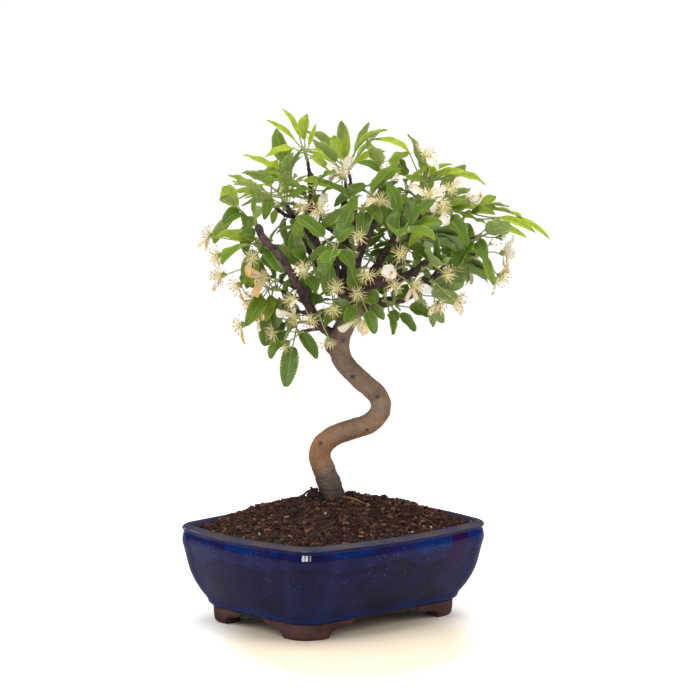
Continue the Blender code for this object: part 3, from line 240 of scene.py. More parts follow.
for lamp_name, (spot, aim, size, power, tint) in LAMPS.items():
    lamp_data = bpy.data.lights.new(lamp_name, "AREA")
    lamp_data.shape = "RECTANGLE"
    lamp_data.size, lamp_data.size_y = size
    lamp_data.energy = power
    lamp_data.color = tint
    lamp = bpy.data.objects.new(lamp_name, lamp_data)
    bpy.context.scene.collection.objects.link(lamp)
    is_pane = lamp_name.startswith("pane")
    lamp.visible_glossy = is_pane
    lamp.visible_diffuse = lamp.visible_transmission = not is_pane
    lamp.location = tree_frame @ Vector(spot)
    lamp.rotation_euler = (tree_frame @ Vector(aim) - lamp.location).to_track_quat("-Z", "Y").to_euler()

# The pot. Stoneware pressed in a mould: bulged walls under a narrow rolled lip, an apron band at the base
# and four bracket feet. The walls carry a deep cobalt glaze, pooled and bluer under the lip, and the
# feet and the underside are bare red-brown clay.
RIM = Vector((0.2025, 0.1675))
BASE = Vector((0.163, 0.119))
RIM_BOW = 0.0075
CORNER_RADIUS = 0.021
CORNER_STEPS = 18
SIDE_STEPS = 26
CORNER_FADE = 0.22
# The profile from the underside up the wall, over the lip and down inside to the floor: how far in towards
# the base, height, and how far out from that line
POT_PROFILE = [
    (1.00, 0.0115, -0.0030), (1.00, 0.0119, -0.0014), (1.00, 0.0124, -0.0004), (0.96, 0.0131, 0.0000),
    (0.90, 0.0142, 0.0001), (0.86, 0.0158, 0.0000), (0.815, 0.0178, -0.0002), (0.73, 0.0200, 0.0000),
    (0.58, 0.0240, 0.0), (0.46, 0.0279, 0.0), (0.35, 0.0320, 0.0), (0.262, 0.0362, 0.0),
    (0.19, 0.0405, 0.0), (0.135, 0.0450, 0.0), (0.09, 0.0500, 0.0002), (0.05, 0.0550, 0.0006),
    (0.028, 0.0580, 0.0011), (0.018, 0.0600, 0.0011), (0.010, 0.0620, 0.0008), (0.004, 0.0640, 0.0003),
    (0.001, 0.0658, -0.0002), (0.0, 0.0672, -0.0006), (0.0, 0.0678, -0.0004), (0.0, 0.0682, 0.0003),
    (0.0, 0.0688, 0.0007), (0.0, 0.0695, 0.0007), (0.0, 0.0702, 0.0003), (0.0, 0.0709, -0.0005),
    (0.0, 0.0715, -0.0016), (0.0, 0.0719, -0.0030), (0.0, 0.0719, -0.0046), (0.0, 0.0716, -0.0060),
    (0.003, 0.0708, -0.0070), (0.012, 0.0696, -0.0076), (0.03, 0.0680, -0.0078),
    (0.20, 0.0450, -0.0075), (0.50, 0.0310, -0.0075), (0.84, 0.0195, -0.0075)]
DRAIN_HOLES, DRAIN_RADIUS, DRAIN_CUT, DRAIN_SIDES = (-0.038, 0.038), 0.007, (0.005, 0.035), 40
# Faces that stay bare clay: those below the glaze's edge, and the floor inside
BARE_BELOW, FLOOR_BELOW = 0.0119, 0.060
# Where the glaze has run thin, and a soft highlight is painted into its grey-brown: the lip from one height
# up, and part of the inside
LIP_FROM, THIN_AND_HIGHLIT_FROM, INSIDE_OFFSET, THIN_AND_HIGHLIT_INSIDE = 0.0692, 0.0640, -0.0050, 0.5
DEEP_GLAZE = (0.0052, 0.0024, 0.0165), (0.0085, 0.0048, 0.0410)
UPPER_GLAZE = (0.0075, 0.0095, 0.0760)
TIDE_SHADE = (0.0030, 0.0015, 0.0120)
POOLED_BLUE = (0.0015, 0.0160, 0.0980)
GLAZE_SPECK = (0.20, 0.19, 0.24)
CREASE_SHADE = (0.0060, 0.0040, 0.0060)
THIN_GLAZE_AND_HIGHLIGHT = (0.050, 0.052, 0.080), (0.084, 0.067, 0.070)
# A reflection painted into the glaze: its plum colour, middle, size and lean
PAINTED_PLUM_REFLECTION = (0.0150, 0.0008, 0.0330)
PLUM_REFLECTION_MIDDLE = pot_middle + Vector((0.0516, -0.083, 0.0565))
PLUM_REFLECTION_SIZE = (0.0092, 0.020, 0.0135)
PLUM_REFLECTION_LEAN = (0.0, 0.30, 0.0)
CLAY = (0.044, 0.0130, 0.0110), (0.082, 0.032, 0.028)
CLAY_SAND = (0.14, 0.095, 0.080)


def rounded_outline(length, width, radius, bow):
    """Points round a rectangle with arc corners and swelling sides, and how far each is in a corner."""
    half = (length / 2 - bow, width / 2 - bow)
    points, in_corner = [], []
    for corner in range(4):
        sign = ((1, 1), (-1, 1), (-1, -1), (1, -1))
        centre, after = ((sign[index % 4][0] * (half[0] - radius), sign[index % 4][1] * (half[1] - radius))
                         for index in (corner, corner + 1))
        for step in range(CORNER_STEPS + 1):
            angle = (corner + step / CORNER_STEPS) * math.pi / 2
            points.append((centre[0] + radius * math.cos(angle), centre[1] + radius * math.sin(angle)))
            in_corner.append(1.0)
        begin = points[-1]
        end = (after[0] + radius * math.cos(angle), after[1] + radius * math.sin(angle))
        for step in range(1, SIDE_STEPS):
            share = step / SIDE_STEPS
            swell = bow * math.sin(math.pi * share)
            points.append((begin[0] + (end[0] - begin[0]) * share + swell * math.cos(angle),
                           begin[1] + (end[1] - begin[1]) * share + swell * math.sin(angle)))
            in_corner.append(max(0.0, 1 - min(step, SIDE_STEPS - step) * CORNER_FADE))
    return points, in_corner


def pot_ring(inward, height, offset=0.0):
    """One level of the pot: inward runs from 0 at the rim to 1 at the base."""
    size = RIM.lerp(BASE, inward) + Vector((2, 2)) * offset
    outline, _ = rounded_outline(*size, max(CORNER_RADIUS + offset, 0.004), RIM_BOW * (1 - 0.9 * inward))
    return [Vector((x, y, height)) + pot_middle for x, y in outline]


def cut_away(piece, rings):
    """Cut a closed shape out of a piece and keep the result as its own mesh."""
    cutter = add_piece("cutter", [point for ring in rings for point in ring], bridge(rings), [])
    body = bmesh.new()
    body.from_mesh(cutter.data)
    bmesh.ops.recalc_face_normals(body, faces=body.faces)
    body.to_mesh(cutter.data)
    body.free()
    difference = piece.modifiers.new("cut", "BOOLEAN")
    difference.operation, difference.object, difference.solver = "DIFFERENCE", cutter, "EXACT"
    settle(piece)
    bpy.data.objects.remove(cutter, do_unlink=True)


def settle(piece):
    """Write what a piece's modifiers make back into its own mesh."""
    bpy.context.view_layer.update()
    graph = bpy.context.evaluated_depsgraph_get()
    made = bpy.data.meshes.new_from_object(piece.evaluated_get(graph))
    piece.modifiers.clear()
    old, piece.data = piece.data, made
    bpy.data.meshes.remove(old)


def soft_noise():
    """Shader group: a soft blotchy mask that rises from one level of a noise to another."""
    tree = bpy.data.node_groups.new("soft_blotches", "ShaderNodeTree")
    for label, kind, start in (("Vector", "Vector", None), ("Scale", "Float", 50.0), ("Detail", "Float", 3.0),
                               ("Low", "Float", 0.4), ("High", "Float", 0.6)):
        socket = tree.interface.new_socket(label, in_out="INPUT", socket_type="NodeSocket" + kind)
        if start is not None:
            socket.default_value = start
    tree.interface.new_socket("Mask", in_out="OUTPUT", socket_type="NodeSocketFloat")
    inner = Nodes(tree)
    taken = inner.tree.nodes.new("NodeGroupInput").outputs
    given = inner.tree.nodes.new("NodeGroupOutput").inputs
    texture = inner.add("TexNoise", {"Vector": taken["Vector"], "Scale": taken["Scale"],
                                     "Detail": taken["Detail"]})
    inner.join(inner.ramp(texture.outputs["Fac"], taken["Low"], taken["High"]), given["Mask"])
    return tree


blotches = soft_noise()


def stretched(nodes, scale=(1.0, 1.0, 1.0)):
    """The piece's own coordinates in metres, stretched along its axes."""
    return nodes.add("Mapping", {"Vector": nodes.add("TexCoord").outputs["Object"],
                                 "Scale": scale}).outputs[0]


def blotch(nodes, vector, scale, low, high, detail=3.0):
    return nodes.group(blotches, {"Vector": vector, "Scale": scale, "Detail": detail,
                                  "Low": low, "High": high}).outputs["Mask"]


def bumped(nodes, shader, height, distance, strength=1.0):
    bump = nodes.add("Bump", {"Height": height, "Distance": distance, "Strength": strength})
    nodes.join(bump.outputs[0], shader.inputs["Normal"])


def cobalt_glaze():
    """Deep navy glass, bluer where it pools, thin and grey-brown over the lip with a painted soft highlight,
    with pale hanging specks.
    """
    material, nodes, shader = new_finish("cobalt_glaze", roughness=0.09, specular_ior_level=0.42)
    spot = stretched(nodes)
    height = nodes.add("SeparateXYZ", {0: spot}).outputs[2]
    wander = blotch(nodes, stretched(nodes, (1.0, 1.0, 0.25)), 30.0, 0.25, 0.75)
    wavy = nodes.maths("MULTIPLY_ADD", wander, 0.012, height)
    cloud = blotch(nodes, spot, 55.0, 0.30, 0.70)
    # Above the tide line the glass is thicker and bluer
    upper = nodes.maths("MULTIPLY", nodes.ramp(wavy, 0.0555, 0.0590),
                        nodes.ramp(cloud, -0.6, 1.0, 0.15, 0.60))
    body = nodes.blend(upper, nodes.blend(cloud, *DEEP_GLAZE), UPPER_GLAZE)
    tide = nodes.maths("MULTIPLY", nodes.ramp(wavy, 0.0535, 0.0552), nodes.ramp(wavy, 0.0585, 0.0560))
    body = nodes.over(body, tide, 0.65, TIDE_SHADE)
    # It pools in patches under the lip, along the apron and down the corners
    under_lip = nodes.maths("MULTIPLY", blotch(nodes, stretched(nodes, (1.0, 1.0, 0.30)), 48.0, 0.46, 0.56),
                            nodes.maths("MULTIPLY", nodes.ramp(wavy, 0.0660, 0.0685),
                                        nodes.ramp(height, 0.0682, 0.0674)))
    apron = nodes.ramp(nodes.maths("MULTIPLY_ADD", wander, -0.006, height), 0.0190, 0.0110)
    corner = nodes.maths("MULTIPLY", nodes.value_of("corner"),
                         nodes.maths("MULTIPLY", nodes.ramp(height, 0.064, 0.020, 0.12, 0.45),
                                     nodes.ramp(wander, 0.0, 1.0, 0.45, 1.0)))
    pooled = nodes.maths("MAXIMUM", nodes.maths("MULTIPLY", under_lip, 0.85),
                         nodes.maths("MAXIMUM", nodes.maths("MULTIPLY", apron, 0.75), corner))
    body = nodes.blend(pooled, body, POOLED_BLUE)
    specks = blotch(nodes, stretched(nodes, (1.0, 1.0, 0.45)), 1500.0, 0.69, 0.76, 1.0)
    hanging = blotch(nodes, stretched(nodes, (1.0, 1.0, 0.12)), 75.0, 0.42, 0.60)
    body = nodes.over(body, nodes.maths("MULTIPLY", specks, hanging), 0.75, GLAZE_SPECK)
    # A plum-coloured reflection at one end of the front, painted into the glaze's colour
    away = nodes.add("VectorMath", {0: nodes.measured_from(PLUM_REFLECTION_MIDDLE, PLUM_REFLECTION_SIZE, PLUM_REFLECTION_LEAN)},
                     operation="ABSOLUTE").outputs["Vector"]
    away = nodes.add("SeparateXYZ", {0: away}).outputs
    away = nodes.maths("MAXIMUM", nodes.maths("MAXIMUM", away[0], away[1]), away[2])
    plum_reflection = nodes.ramp(nodes.maths("MULTIPLY_ADD", wander, 0.12, away), 1.08, 0.92)
    body = nodes.over(body, plum_reflection, 0.95, PAINTED_PLUM_REFLECTION)
    # Painted shade in the crease under the lip
    crease = nodes.maths("MULTIPLY", nodes.ramp(height, 0.0672, 0.0676), nodes.ramp(height, 0.0684, 0.0679))
    body = nodes.over(body, crease, 0.8, CREASE_SHADE)
    # The lip's thin glaze, with a painted soft highlight in its grey-brown
    lip = nodes.maths("MULTIPLY", nodes.value_of("lip"),
                      blotch(nodes, stretched(nodes, (1.0, 1.0, 2.0)), 60.0, 0.05, 0.50))
    body = nodes.over(body, lip, 0.88, nodes.blend(blotch(nodes, spot, 40.0, 0.35, 0.65), *THIN_GLAZE_AND_HIGHLIGHT))
    nodes.join(body, shader.inputs["Base Color"])
    nodes.join(nodes.maths("MULTIPLY_ADD", lip, 0.10, nodes.ramp(cloud, 0.0, 1.0, 0.06, 0.13)),
               shader.inputs["Roughness"])
    bumped(nodes, shader, nodes.grain(spot, 160.0, 1.5), 0.00030, 0.5)
    return material


def bare_clay():
    """Unglazed fired stoneware: red-brown and sandy."""
    material, nodes, shader = new_finish("bare_clay", roughness=0.78)
    spot = stretched(nodes)
    patches = blotch(nodes, spot, 70.0, 0.30, 0.70)
    body = nodes.over(nodes.blend(patches, *CLAY), blotch(nodes, spot, 1500.0, 0.60, 0.72), 0.45, CLAY_SAND)
    nodes.join(body, shader.inputs["Base Color"])
    nodes.join(nodes.ramp(patches, 0.0, 1.0, 0.62, 0.85), shader.inputs["Roughness"])
    bumped(nodes, shader, nodes.grain(spot, 900.0, 3.0), 0.0004, 0.7)
    return material


def lip_cover(height, offset):
    """How far the glaze has run thin, with a painted soft highlight: fully on top of the lip, and partly down
    the inside of the wall.
    """
    if offset < INSIDE_OFFSET:
        return THIN_AND_HIGHLIT_INSIDE * float(height > THIN_AND_HIGHLIT_FROM)
    return float(height > LIP_FROM)


glaze, clay = cobalt_glaze(), bare_clay()
pot_rings = [pot_ring(*level) for level in POT_PROFILE]
_, corner_share = rounded_outline(*RIM, CORNER_RADIUS, RIM_BOW)
lip_share = []
for _, height, offset in POT_PROFILE:
    lip_share += [lip_cover(height, offset)] * len(corner_share)
pot_body = add_piece("pot_body", [point for ring in pot_rings for point in ring], bridge(pot_rings),
                     [glaze, clay], values={"corner": corner_share * len(pot_rings), "lip": lip_share})
for drain_x in DRAIN_HOLES:
    cut_away(pot_body, [round_ring(pot_middle + Vector((drain_x, 0.0, height)), DRAIN_RADIUS, DRAIN_SIDES)
                        for height in DRAIN_CUT])
for face in pot_body.data.polygons:
    on_floor = face.center.z < FLOOR_BELOW and face.normal.z > 0.1
    face.material_index = int(face.center.z < BARE_BELOW or on_floor)
pot_body.data.set_sharp_from_angle(angle=math.radians(50))

# The bracket feet: a ring of the same clay under the apron, with a lobed arch cut through each side, so that
# a foot is left at each corner. It is pressed and fired in one piece with the pot, and isn't glazed.
FEET_OUTSIDE = [(0.0, -0.0036), (0.0006, -0.0030), (0.0018, -0.0020), (0.0060, -0.0014), (0.0118, -0.0011)]
LONG_ARCH = (0.0552, 0.0325)
SHORT_ARCH = (0.0325, 0.0130)
BELOW_GROUND = -0.004
FEET_INSIDE = [(BELOW_GROUND, -0.0165), (0.013, -0.0150)]
ARCH_STEPS, ARCH_REACH = 12, 0.12
# The arch's lower lobe, the step over it and its upper lobe: heights, and shares of the arch's run
LOBE_HEIGHT, STEP_HEIGHTS, UPPER_LOBE = 0.0052, (0.0056, 0.0066), 0.0046
LOBE_SHARE, STEP_SHARES = 0.16, (0.21, 0.26)
WORN_EDGE = 0.0005


def arch_rings(half_bottom, half_top, along_x):
    """A lobed arch, as long as the pot: a hollow curve up from the ground, a step, then a second curve."""
    run = half_bottom - half_top
    turns = [step / ARCH_STEPS * math.pi / 2 for step in range(1, ARCH_STEPS + 1)]
    profile = [(half_bottom, BELOW_GROUND), (half_bottom, 0.0)]
    profile += [(half_bottom - LOBE_SHARE * run * (1 - math.cos(turn)), LOBE_HEIGHT * math.sin(turn))
                for turn in turns]
    profile += [(half_bottom - share * run, height) for share, height in zip(STEP_SHARES, STEP_HEIGHTS)]
    profile += [(half_bottom - run * (STEP_SHARES[1] + (1 - STEP_SHARES[1]) * math.sin(turn)),
                 STEP_HEIGHTS[1] + UPPER_LOBE * (1 - math.cos(turn))) for turn in turns]
    profile += [(-across, height) for across, height in reversed(profile)]
    return [[pot_middle + (Vector((across, side, height)) if along_x else Vector((side, across, height)))
             for across, height in profile] for side in (-ARCH_REACH, ARCH_REACH)]


feet_rings = [pot_ring(1.0, height, offset) for height, offset in FEET_OUTSIDE]
feet = add_piece("pot_feet", [point for ring in feet_rings for point in ring], bridge(feet_rings), [clay])
cut_away(feet, [pot_ring(1.0, height, offset) for height, offset in FEET_INSIDE])
cut_away(feet, arch_rings(*LONG_ARCH, along_x=True))
cut_away(feet, arch_rings(*SHORT_ARCH, along_x=False))
softened = feet.modifiers.new("worn_edges", "BEVEL")
softened.width, softened.segments, softened.limit_method = WORN_EDGE, 2, "ANGLE"
softened.angle_limit = math.radians(40)
settle(feet)
feet.data.shade_smooth()
feet.data.set_sharp_from_angle(angle=math.radians(38))
for piece in (pot_body, feet):
    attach(piece, "root")
    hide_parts("pot")

# The drain screens: squares of black moulded plastic mesh, one over each hole. They are laid on the pot's
# floor before the soil goes in, and the soil holds them down.
SCREEN_BLACK = (0.016, 0.016, 0.017), (0.034, 0.032, 0.030)


def screen_plastic():
    material, nodes, shader = new_finish("screen_plastic", roughness=0.5)
    spot = stretched(nodes)
    nodes.join(nodes.blend(blotch(nodes, spot, 300.0, 0.3, 0.7), *SCREEN_BLACK), shader.inputs["Base Color"])
    nodes.join(nodes.ramp(blotch(nodes, spot, 500.0, 0.3, 0.7), 0.0, 1.0, 0.42, 0.62),
               shader.inputs["Roughness"])
    return material


black_mesh = screen_plastic()
for side in ("left", "right"):
    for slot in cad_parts["drain_screen_" + side].material_slots:
        slot.material = black_mesh

# The soil: composted bark and peat heaped up to the trunk, a mat of dark and orange-brown chips, root
# fibres and a few white perlite grains.
SOIL_EDGE, MOUND, SOIL_HALF_SIZE = 0.0680, 0.0210, (0.09375, 0.07625)
SOIL_RINGS = 58
# The plug's rings below the surface, on the pot's profile, and where its surface meets the wall
PLUG_LEVELS = ((0.84, 0.0198, -0.0087), (0.50, 0.0314, -0.0085), (0.20, 0.0454, -0.0085))
PLUG_EDGE = (0.02, 0.0, -0.0084)
STEM_FOOT = Vector((-0.001, 0.005, 0.0))
SOCKET_RADIUS, SOCKET_BOTTOM = 0.0122, 0.055
CHIPS, PERLITE_GRAINS, FIBRES, CLUMP_CHIPS, LARGE_CHIPS = 4300, 10, 300, 150, 130
LITTER_HALF_SIZE, FIBRE_HALF_SIZE, CLEAR_OF_STEM = (0.0925, 0.0755), (0.091, 0.074), 0.0095
# The loose clump against the trunk's left foot, in the tree's frame: middle, spread of its chips and rise
CLUMP, CLUMP_SPREAD, CLUMP_SIZE, CLUMP_RISE = (-0.0155, -0.001), (0.0034, 0.0032), (0.0042, 0.0050), 0.0085
PEAT = (0.0120, 0.0045, 0.0035), (0.046, 0.018, 0.012)
BARK_CHIP, ORANGE_CHIP, CHIP_SPECK = (0.100, 0.042, 0.024), (0.230, 0.115, 0.050), (0.25, 0.15, 0.09)
PERLITE = (0.30, 0.25, 0.20), (0.62, 0.58, 0.53)
# Roots that show at the trunk's foot, in the tree's frame: route, thickness at each end and tint
SURFACE_ROOTS = [
    ([(0.002, -0.004, 0.0890), (0.010, -0.010, 0.0915), (0.018, -0.014, 0.0900), (0.025, -0.017, 0.0868)],
     0.0011, 0.0004, 1.0),
    ([(0.001, -0.006, 0.0880), (0.006, -0.014, 0.0900), (0.013, -0.020, 0.0876), (0.020, -0.027, 0.0845)],
     0.0008, 0.0003, 0.9),
    ([(-0.010, 0.000, 0.0900), (-0.015, -0.004, 0.0965), (-0.0175, -0.006, 0.0990)], 0.0012, 0.0006, 0.25),
    ([(-0.009, 0.001, 0.0900), (-0.017, 0.000, 0.0950), (-0.0225, -0.002, 0.0925), (-0.026, -0.004, 0.0880)],
     0.0012, 0.0005, 0.3),
    ([(-0.012, -0.004, 0.0890), (-0.0135, -0.007, 0.0960), (-0.0125, -0.009, 0.0990)], 0.0010, 0.0005, 0.2),
]


def soil_height(x, y):
    """The mound above a point that is measured from the pot's middle."""
    away = (abs(x / SOIL_HALF_SIZE[0]) ** 3 + abs(y / SOIL_HALF_SIZE[1]) ** 3) ** (1 / 3)
    mound = MOUND * max(0.0, 1 - away ** 2.2)
    coarse = noise.noise(Vector((x, y, 0.3)) * 90)
    fine = noise.noise(Vector((x, y, 1.7)) * 210)
    grain = noise.noise(Vector((x, y, 2.9)) * 520)
    calmer_at_wall = min(1.0, 2.6 * (1.05 - min(away, 1.0)))
    return SOIL_EDGE + mound + (0.0021 * (coarse + 0.6 * fine) + 0.0006 * grain) * calmer_at_wall


def bark_and_peat():
    """Each chip has its own tint between near-black peat and orange bark."""
    material, nodes, shader = new_finish("bark_and_peat", roughness=0.88)
    spot = stretched(nodes)
    tint = nodes.value_of("chip_tint")
    dark = nodes.blend(blotch(nodes, spot, 400.0, 0.35, 0.65), *PEAT)
    body = nodes.blend(nodes.ramp(tint, 0.35, 0.80), dark, BARK_CHIP)
    body = nodes.blend(nodes.ramp(tint, 0.86, 1.0), body, ORANGE_CHIP)
    body = nodes.over(body, blotch(nodes, spot, 1400.0, 0.62, 0.74), 0.45, CHIP_SPECK)
    nodes.join(body, shader.inputs["Base Color"])
    nodes.join(nodes.ramp(tint, 0.0, 1.0, 0.95, 0.78), shader.inputs["Roughness"])
    bumped(nodes, shader, nodes.grain(spot, 1300.0, 4.0), 0.0006, 0.8)
    return material


def perlite():
    material, nodes, shader = new_finish("perlite", roughness=0.85)
    spot = stretched(nodes)
    nodes.join(nodes.blend(blotch(nodes, spot, 900.0, 0.3, 0.7), *PERLITE), shader.inputs["Base Color"])
    bumped(nodes, shader, nodes.grain(spot, 1800.0), 0.0004)
    return material


def on_soil(x, y, half_size):
    """Whether a point lies inside a rounded oblong as large as the soil's surface."""
    return abs(x / half_size[0]) ** 4.5 + abs(y / half_size[1]) ** 4.5 < 0.96


def make_soil():
    """The plug that fills the pot, its chips, fibres and grains, as one piece."""
    rng = random.Random(11)
    turn_to_tree = Matrix.Rotation(TREE_TURN, 3, "Z")
    stem = turn_to_tree @ STEM_FOOT
    edge = [point - pot_middle for point in pot_ring(*PLUG_EDGE)]
    angles = [math.atan2(point.y - stem.y, point.x - stem.x) for point in edge]
    socket = [Vector((stem.x + SOCKET_RADIUS * math.cos(angle),
                      stem.y + SOCKET_RADIUS * math.sin(angle), 0.0)) for angle in angles]
    rings = [[point - pot_middle for point in pot_ring(*level)] for level in PLUG_LEVELS]
    for level in range(SOIL_RINGS + 1):
        share = (level / SOIL_RINGS) ** 0.9
        ring = [point.lerp(end, share) for point, end in zip(edge, socket)]
        rings.append([Vector((spot.x, spot.y, soil_height(spot.x, spot.y))) for spot in ring])
    rings.append([Vector((point.x, point.y, SOCKET_BOTTOM)) for point in socket])
    points = [point for ring in rings for point in ring]
    faces = bridge(rings)
    finishes = [0] * len(faces)
    tints = [0.2 + 0.5 * noise.noise(point * 300) for point in points]

    def add_chip(centre, sizes, turn, tint, finish=0):
        body = bmesh.new()
        bmesh.ops.create_icosphere(body, subdivisions=1, radius=1.0)
        start = len(points)
        for vertex in body.verts:
            jitter = vertex.co * rng.uniform(0.72, 1.18)
            points.append(centre + turn @ Vector(jitter[axis] * sizes[axis] for axis in range(3)))
            tints.append(tint + rng.uniform(-0.05, 0.05))
        faces.extend(tuple(start + vertex.index for vertex in face.verts) for face in body.faces)
        finishes.extend([finish] * len(body.faces))
        body.free()

    def add_thread(path, radii, sides, tint):
        made, skin = stem_tube(path, radii, sides, len(points))
        points.extend(made)
        tints.extend([tint] * len(made))
        faces.extend(skin)
        finishes.extend([0] * len(skin))

    def tumbled(*tilts):
        turn = Matrix.Rotation(rng.uniform(0, math.tau), 3, "Z")
        for tilt, axis in zip(tilts, "XY"):
            turn = turn @ Matrix.Rotation(rng.uniform(-tilt, tilt), 3, axis)
        return turn

    def random_spot():
        while True:
            x, y = (rng.uniform(-half, half) for half in LITTER_HALF_SIZE)
            if on_soil(x, y, LITTER_HALF_SIZE) and (Vector((x, y)) - stem.xy).length > CLEAR_OF_STEM:
                return x, y

    def resting(x, y, lift):
        return Vector((x, y, soil_height(x, y) + lift))

    for _ in range(CHIPS):
        x, y = random_spot()
        size = 0.0006 + 0.0014 * rng.random() ** 2.6
        sizes = (size * rng.uniform(1.0, 1.7), size * rng.uniform(0.8, 1.2), size * rng.uniform(0.5, 0.9))
        turn = tumbled(0.7, 0.7)
        add_chip(resting(x, y, size * rng.uniform(-0.1, 0.7)), sizes, turn, rng.random() ** 1.3)
    for _ in range(PERLITE_GRAINS):
        x, y = random_spot()
        size = rng.uniform(0.0006, 0.0013)
        add_chip(resting(x, y, size * 0.9), (size, size, size), Matrix.Identity(3), 0.5, 1)
    for _ in range(FIBRES):
        x, y = random_spot()
        heading = rng.uniform(0, math.tau)
        length = rng.uniform(0.004, 0.016)
        bend = rng.uniform(-1.2, 1.2)
        path = []
        for step in range(6):
            lift = math.sin(step / 5 * math.pi) * rng.uniform(0.0006, 0.0022)
            path.append(resting(x, y, 0.0006 + lift))
            heading += bend / 5
            x += math.cos(heading) * length / 5
            y += math.sin(heading) * length / 5
            if not on_soil(x, y, FIBRE_HALF_SIZE):
                break
        if len(path) > 2:
            thick = rng.uniform(0.00010, 0.00028)
            add_thread(path, [thick] * len(path), 4, rng.choice((0.30, 0.45, 0.60, 0.75, 0.95)))
    for _ in range(CLUMP_CHIPS):
        heap = Vector([rng.gauss(middle, spread) for middle, spread in zip(CLUMP, CLUMP_SPREAD)] + [0.0])
        spot = turn_to_tree @ heap
        rise = CLUMP_RISE * math.exp(-sum(((heap[axis] - CLUMP[axis]) / CLUMP_SIZE[axis]) ** 2
                                          for axis in (0, 1)))
        size = rng.uniform(0.0008, 0.0019)
        turn = tumbled(1)
        add_chip(resting(spot.x, spot.y, rise * rng.random()),
                 (size * rng.uniform(1.0, 1.8), size, size * 0.8), turn, 0.45 * rng.random())
    for _ in range(LARGE_CHIPS):
        x, y = random_spot()
        size = rng.uniform(0.0017, 0.0033)
        turn = tumbled(0.5)
        add_chip(resting(x, y, size * rng.uniform(-0.1, 0.3)),
                 (size * rng.uniform(1.0, 1.3), size, size * rng.uniform(0.45, 0.65)), turn,
                 rng.choice((0.40, 0.58, 0.70, 0.88)))
    for route, thick, thin, tint in SURFACE_ROOTS:
        path = [turn_to_tree @ point for point in smooth_route(route, 5)]
        add_thread(path, list(np.linspace(thick, thin, len(path))), 8, tint)
    return add_piece("bark_soil", [point + pot_middle for point in points], faces,
                     [bark_and_peat(), perlite()], finishes, {"chip_tint": tints}, sharp=38)


def smooth_route(route, steps):
    """A curve through a route's points, with steps pieces between each two."""
    knots = [Vector(point) for point in route]
    knots = [2 * knots[0] - knots[1]] + knots + [2 * knots[-1] - knots[-2]]
    curve = []
    for span in range(1, len(knots) - 2):
        before, start, end, after = knots[span - 1:span + 3]
        curve += [0.5 * ((2 * start) + (end - before) * t + (2 * before - 5 * start + 4 * end - after) * t * t
                         + (3 * start - before - 3 * end + after) * t ** 3)
                  for t in (step / steps for step in range(steps))]
    return curve + [knots[-2]]


def stem_tube(path, radii, sides, start=0, rounded=0.0):
    """Points and faces of a closed round stem along a path, numbered from start."""
    tangent = (path[1] - path[0]).normalized()
    across = tangent.orthogonal().normalized()
    rings = []
    for number, (centre, radius) in enumerate(zip(path, map(float, radii))):
        ahead = (path[min(number + 1, len(path) - 1)] - path[max(number - 1, 0)]).normalized()
        across = (tangent.rotation_difference(ahead) @ across).normalized()
        tangent = ahead
        upward = tangent.cross(across)
        rings.append([centre + radius * (math.cos(angle) * across + math.sin(angle) * upward)
                      for angle in (step / sides * math.tau for step in range(sides))])
    if rounded:
        last, middle = rings[-1], path[-1]
        rings.append([middle + (point - middle) * 0.7 + tangent * rounded * 0.6 for point in last])
        rings.append([middle + (point - middle) * 0.2 + tangent * rounded for point in last])
    return [point for ring in rings for point in ring], bridge(rings, start)


soil = make_soil()
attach(soil, "root")
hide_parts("soil")

# The wood: a smooth grey-tan trunk that flares into the soil and winds up in an S, darker rough limbs and
# thin spurs, grown together, with swollen pruning scars and one short snag.
TRUNK_ROUTE = [
    (-0.001, 0.005, 0.0570), (-0.001, 0.005, 0.072), (-0.001, 0.005, 0.090), (-0.006, 0.004, 0.107),
    (-0.0105, 0.002, 0.121), (-0.007, 0.000, 0.131), (0.003, -0.002, 0.138), (0.0145, -0.004, 0.142),
    (0.0275, -0.004, 0.147), (0.035, -0.003, 0.1565), (0.033, 0.000, 0.166), (0.0245, 0.002, 0.174),
    (0.0125, 0.004, 0.185), (0.0055, 0.005, 0.195), (0.004, 0.005, 0.205), (0.0065, 0.004, 0.215),
    (0.012, 0.002, 0.224), (0.017, 0.000, 0.232)]
TRUNK_RADII = [0.0112, 0.0108, 0.0096, 0.0086, 0.0082, 0.0079, 0.0077, 0.0076, 0.0076, 0.0075,
               0.0074, 0.0074, 0.0074, 0.0076, 0.0078, 0.0078, 0.0070, 0.0055]
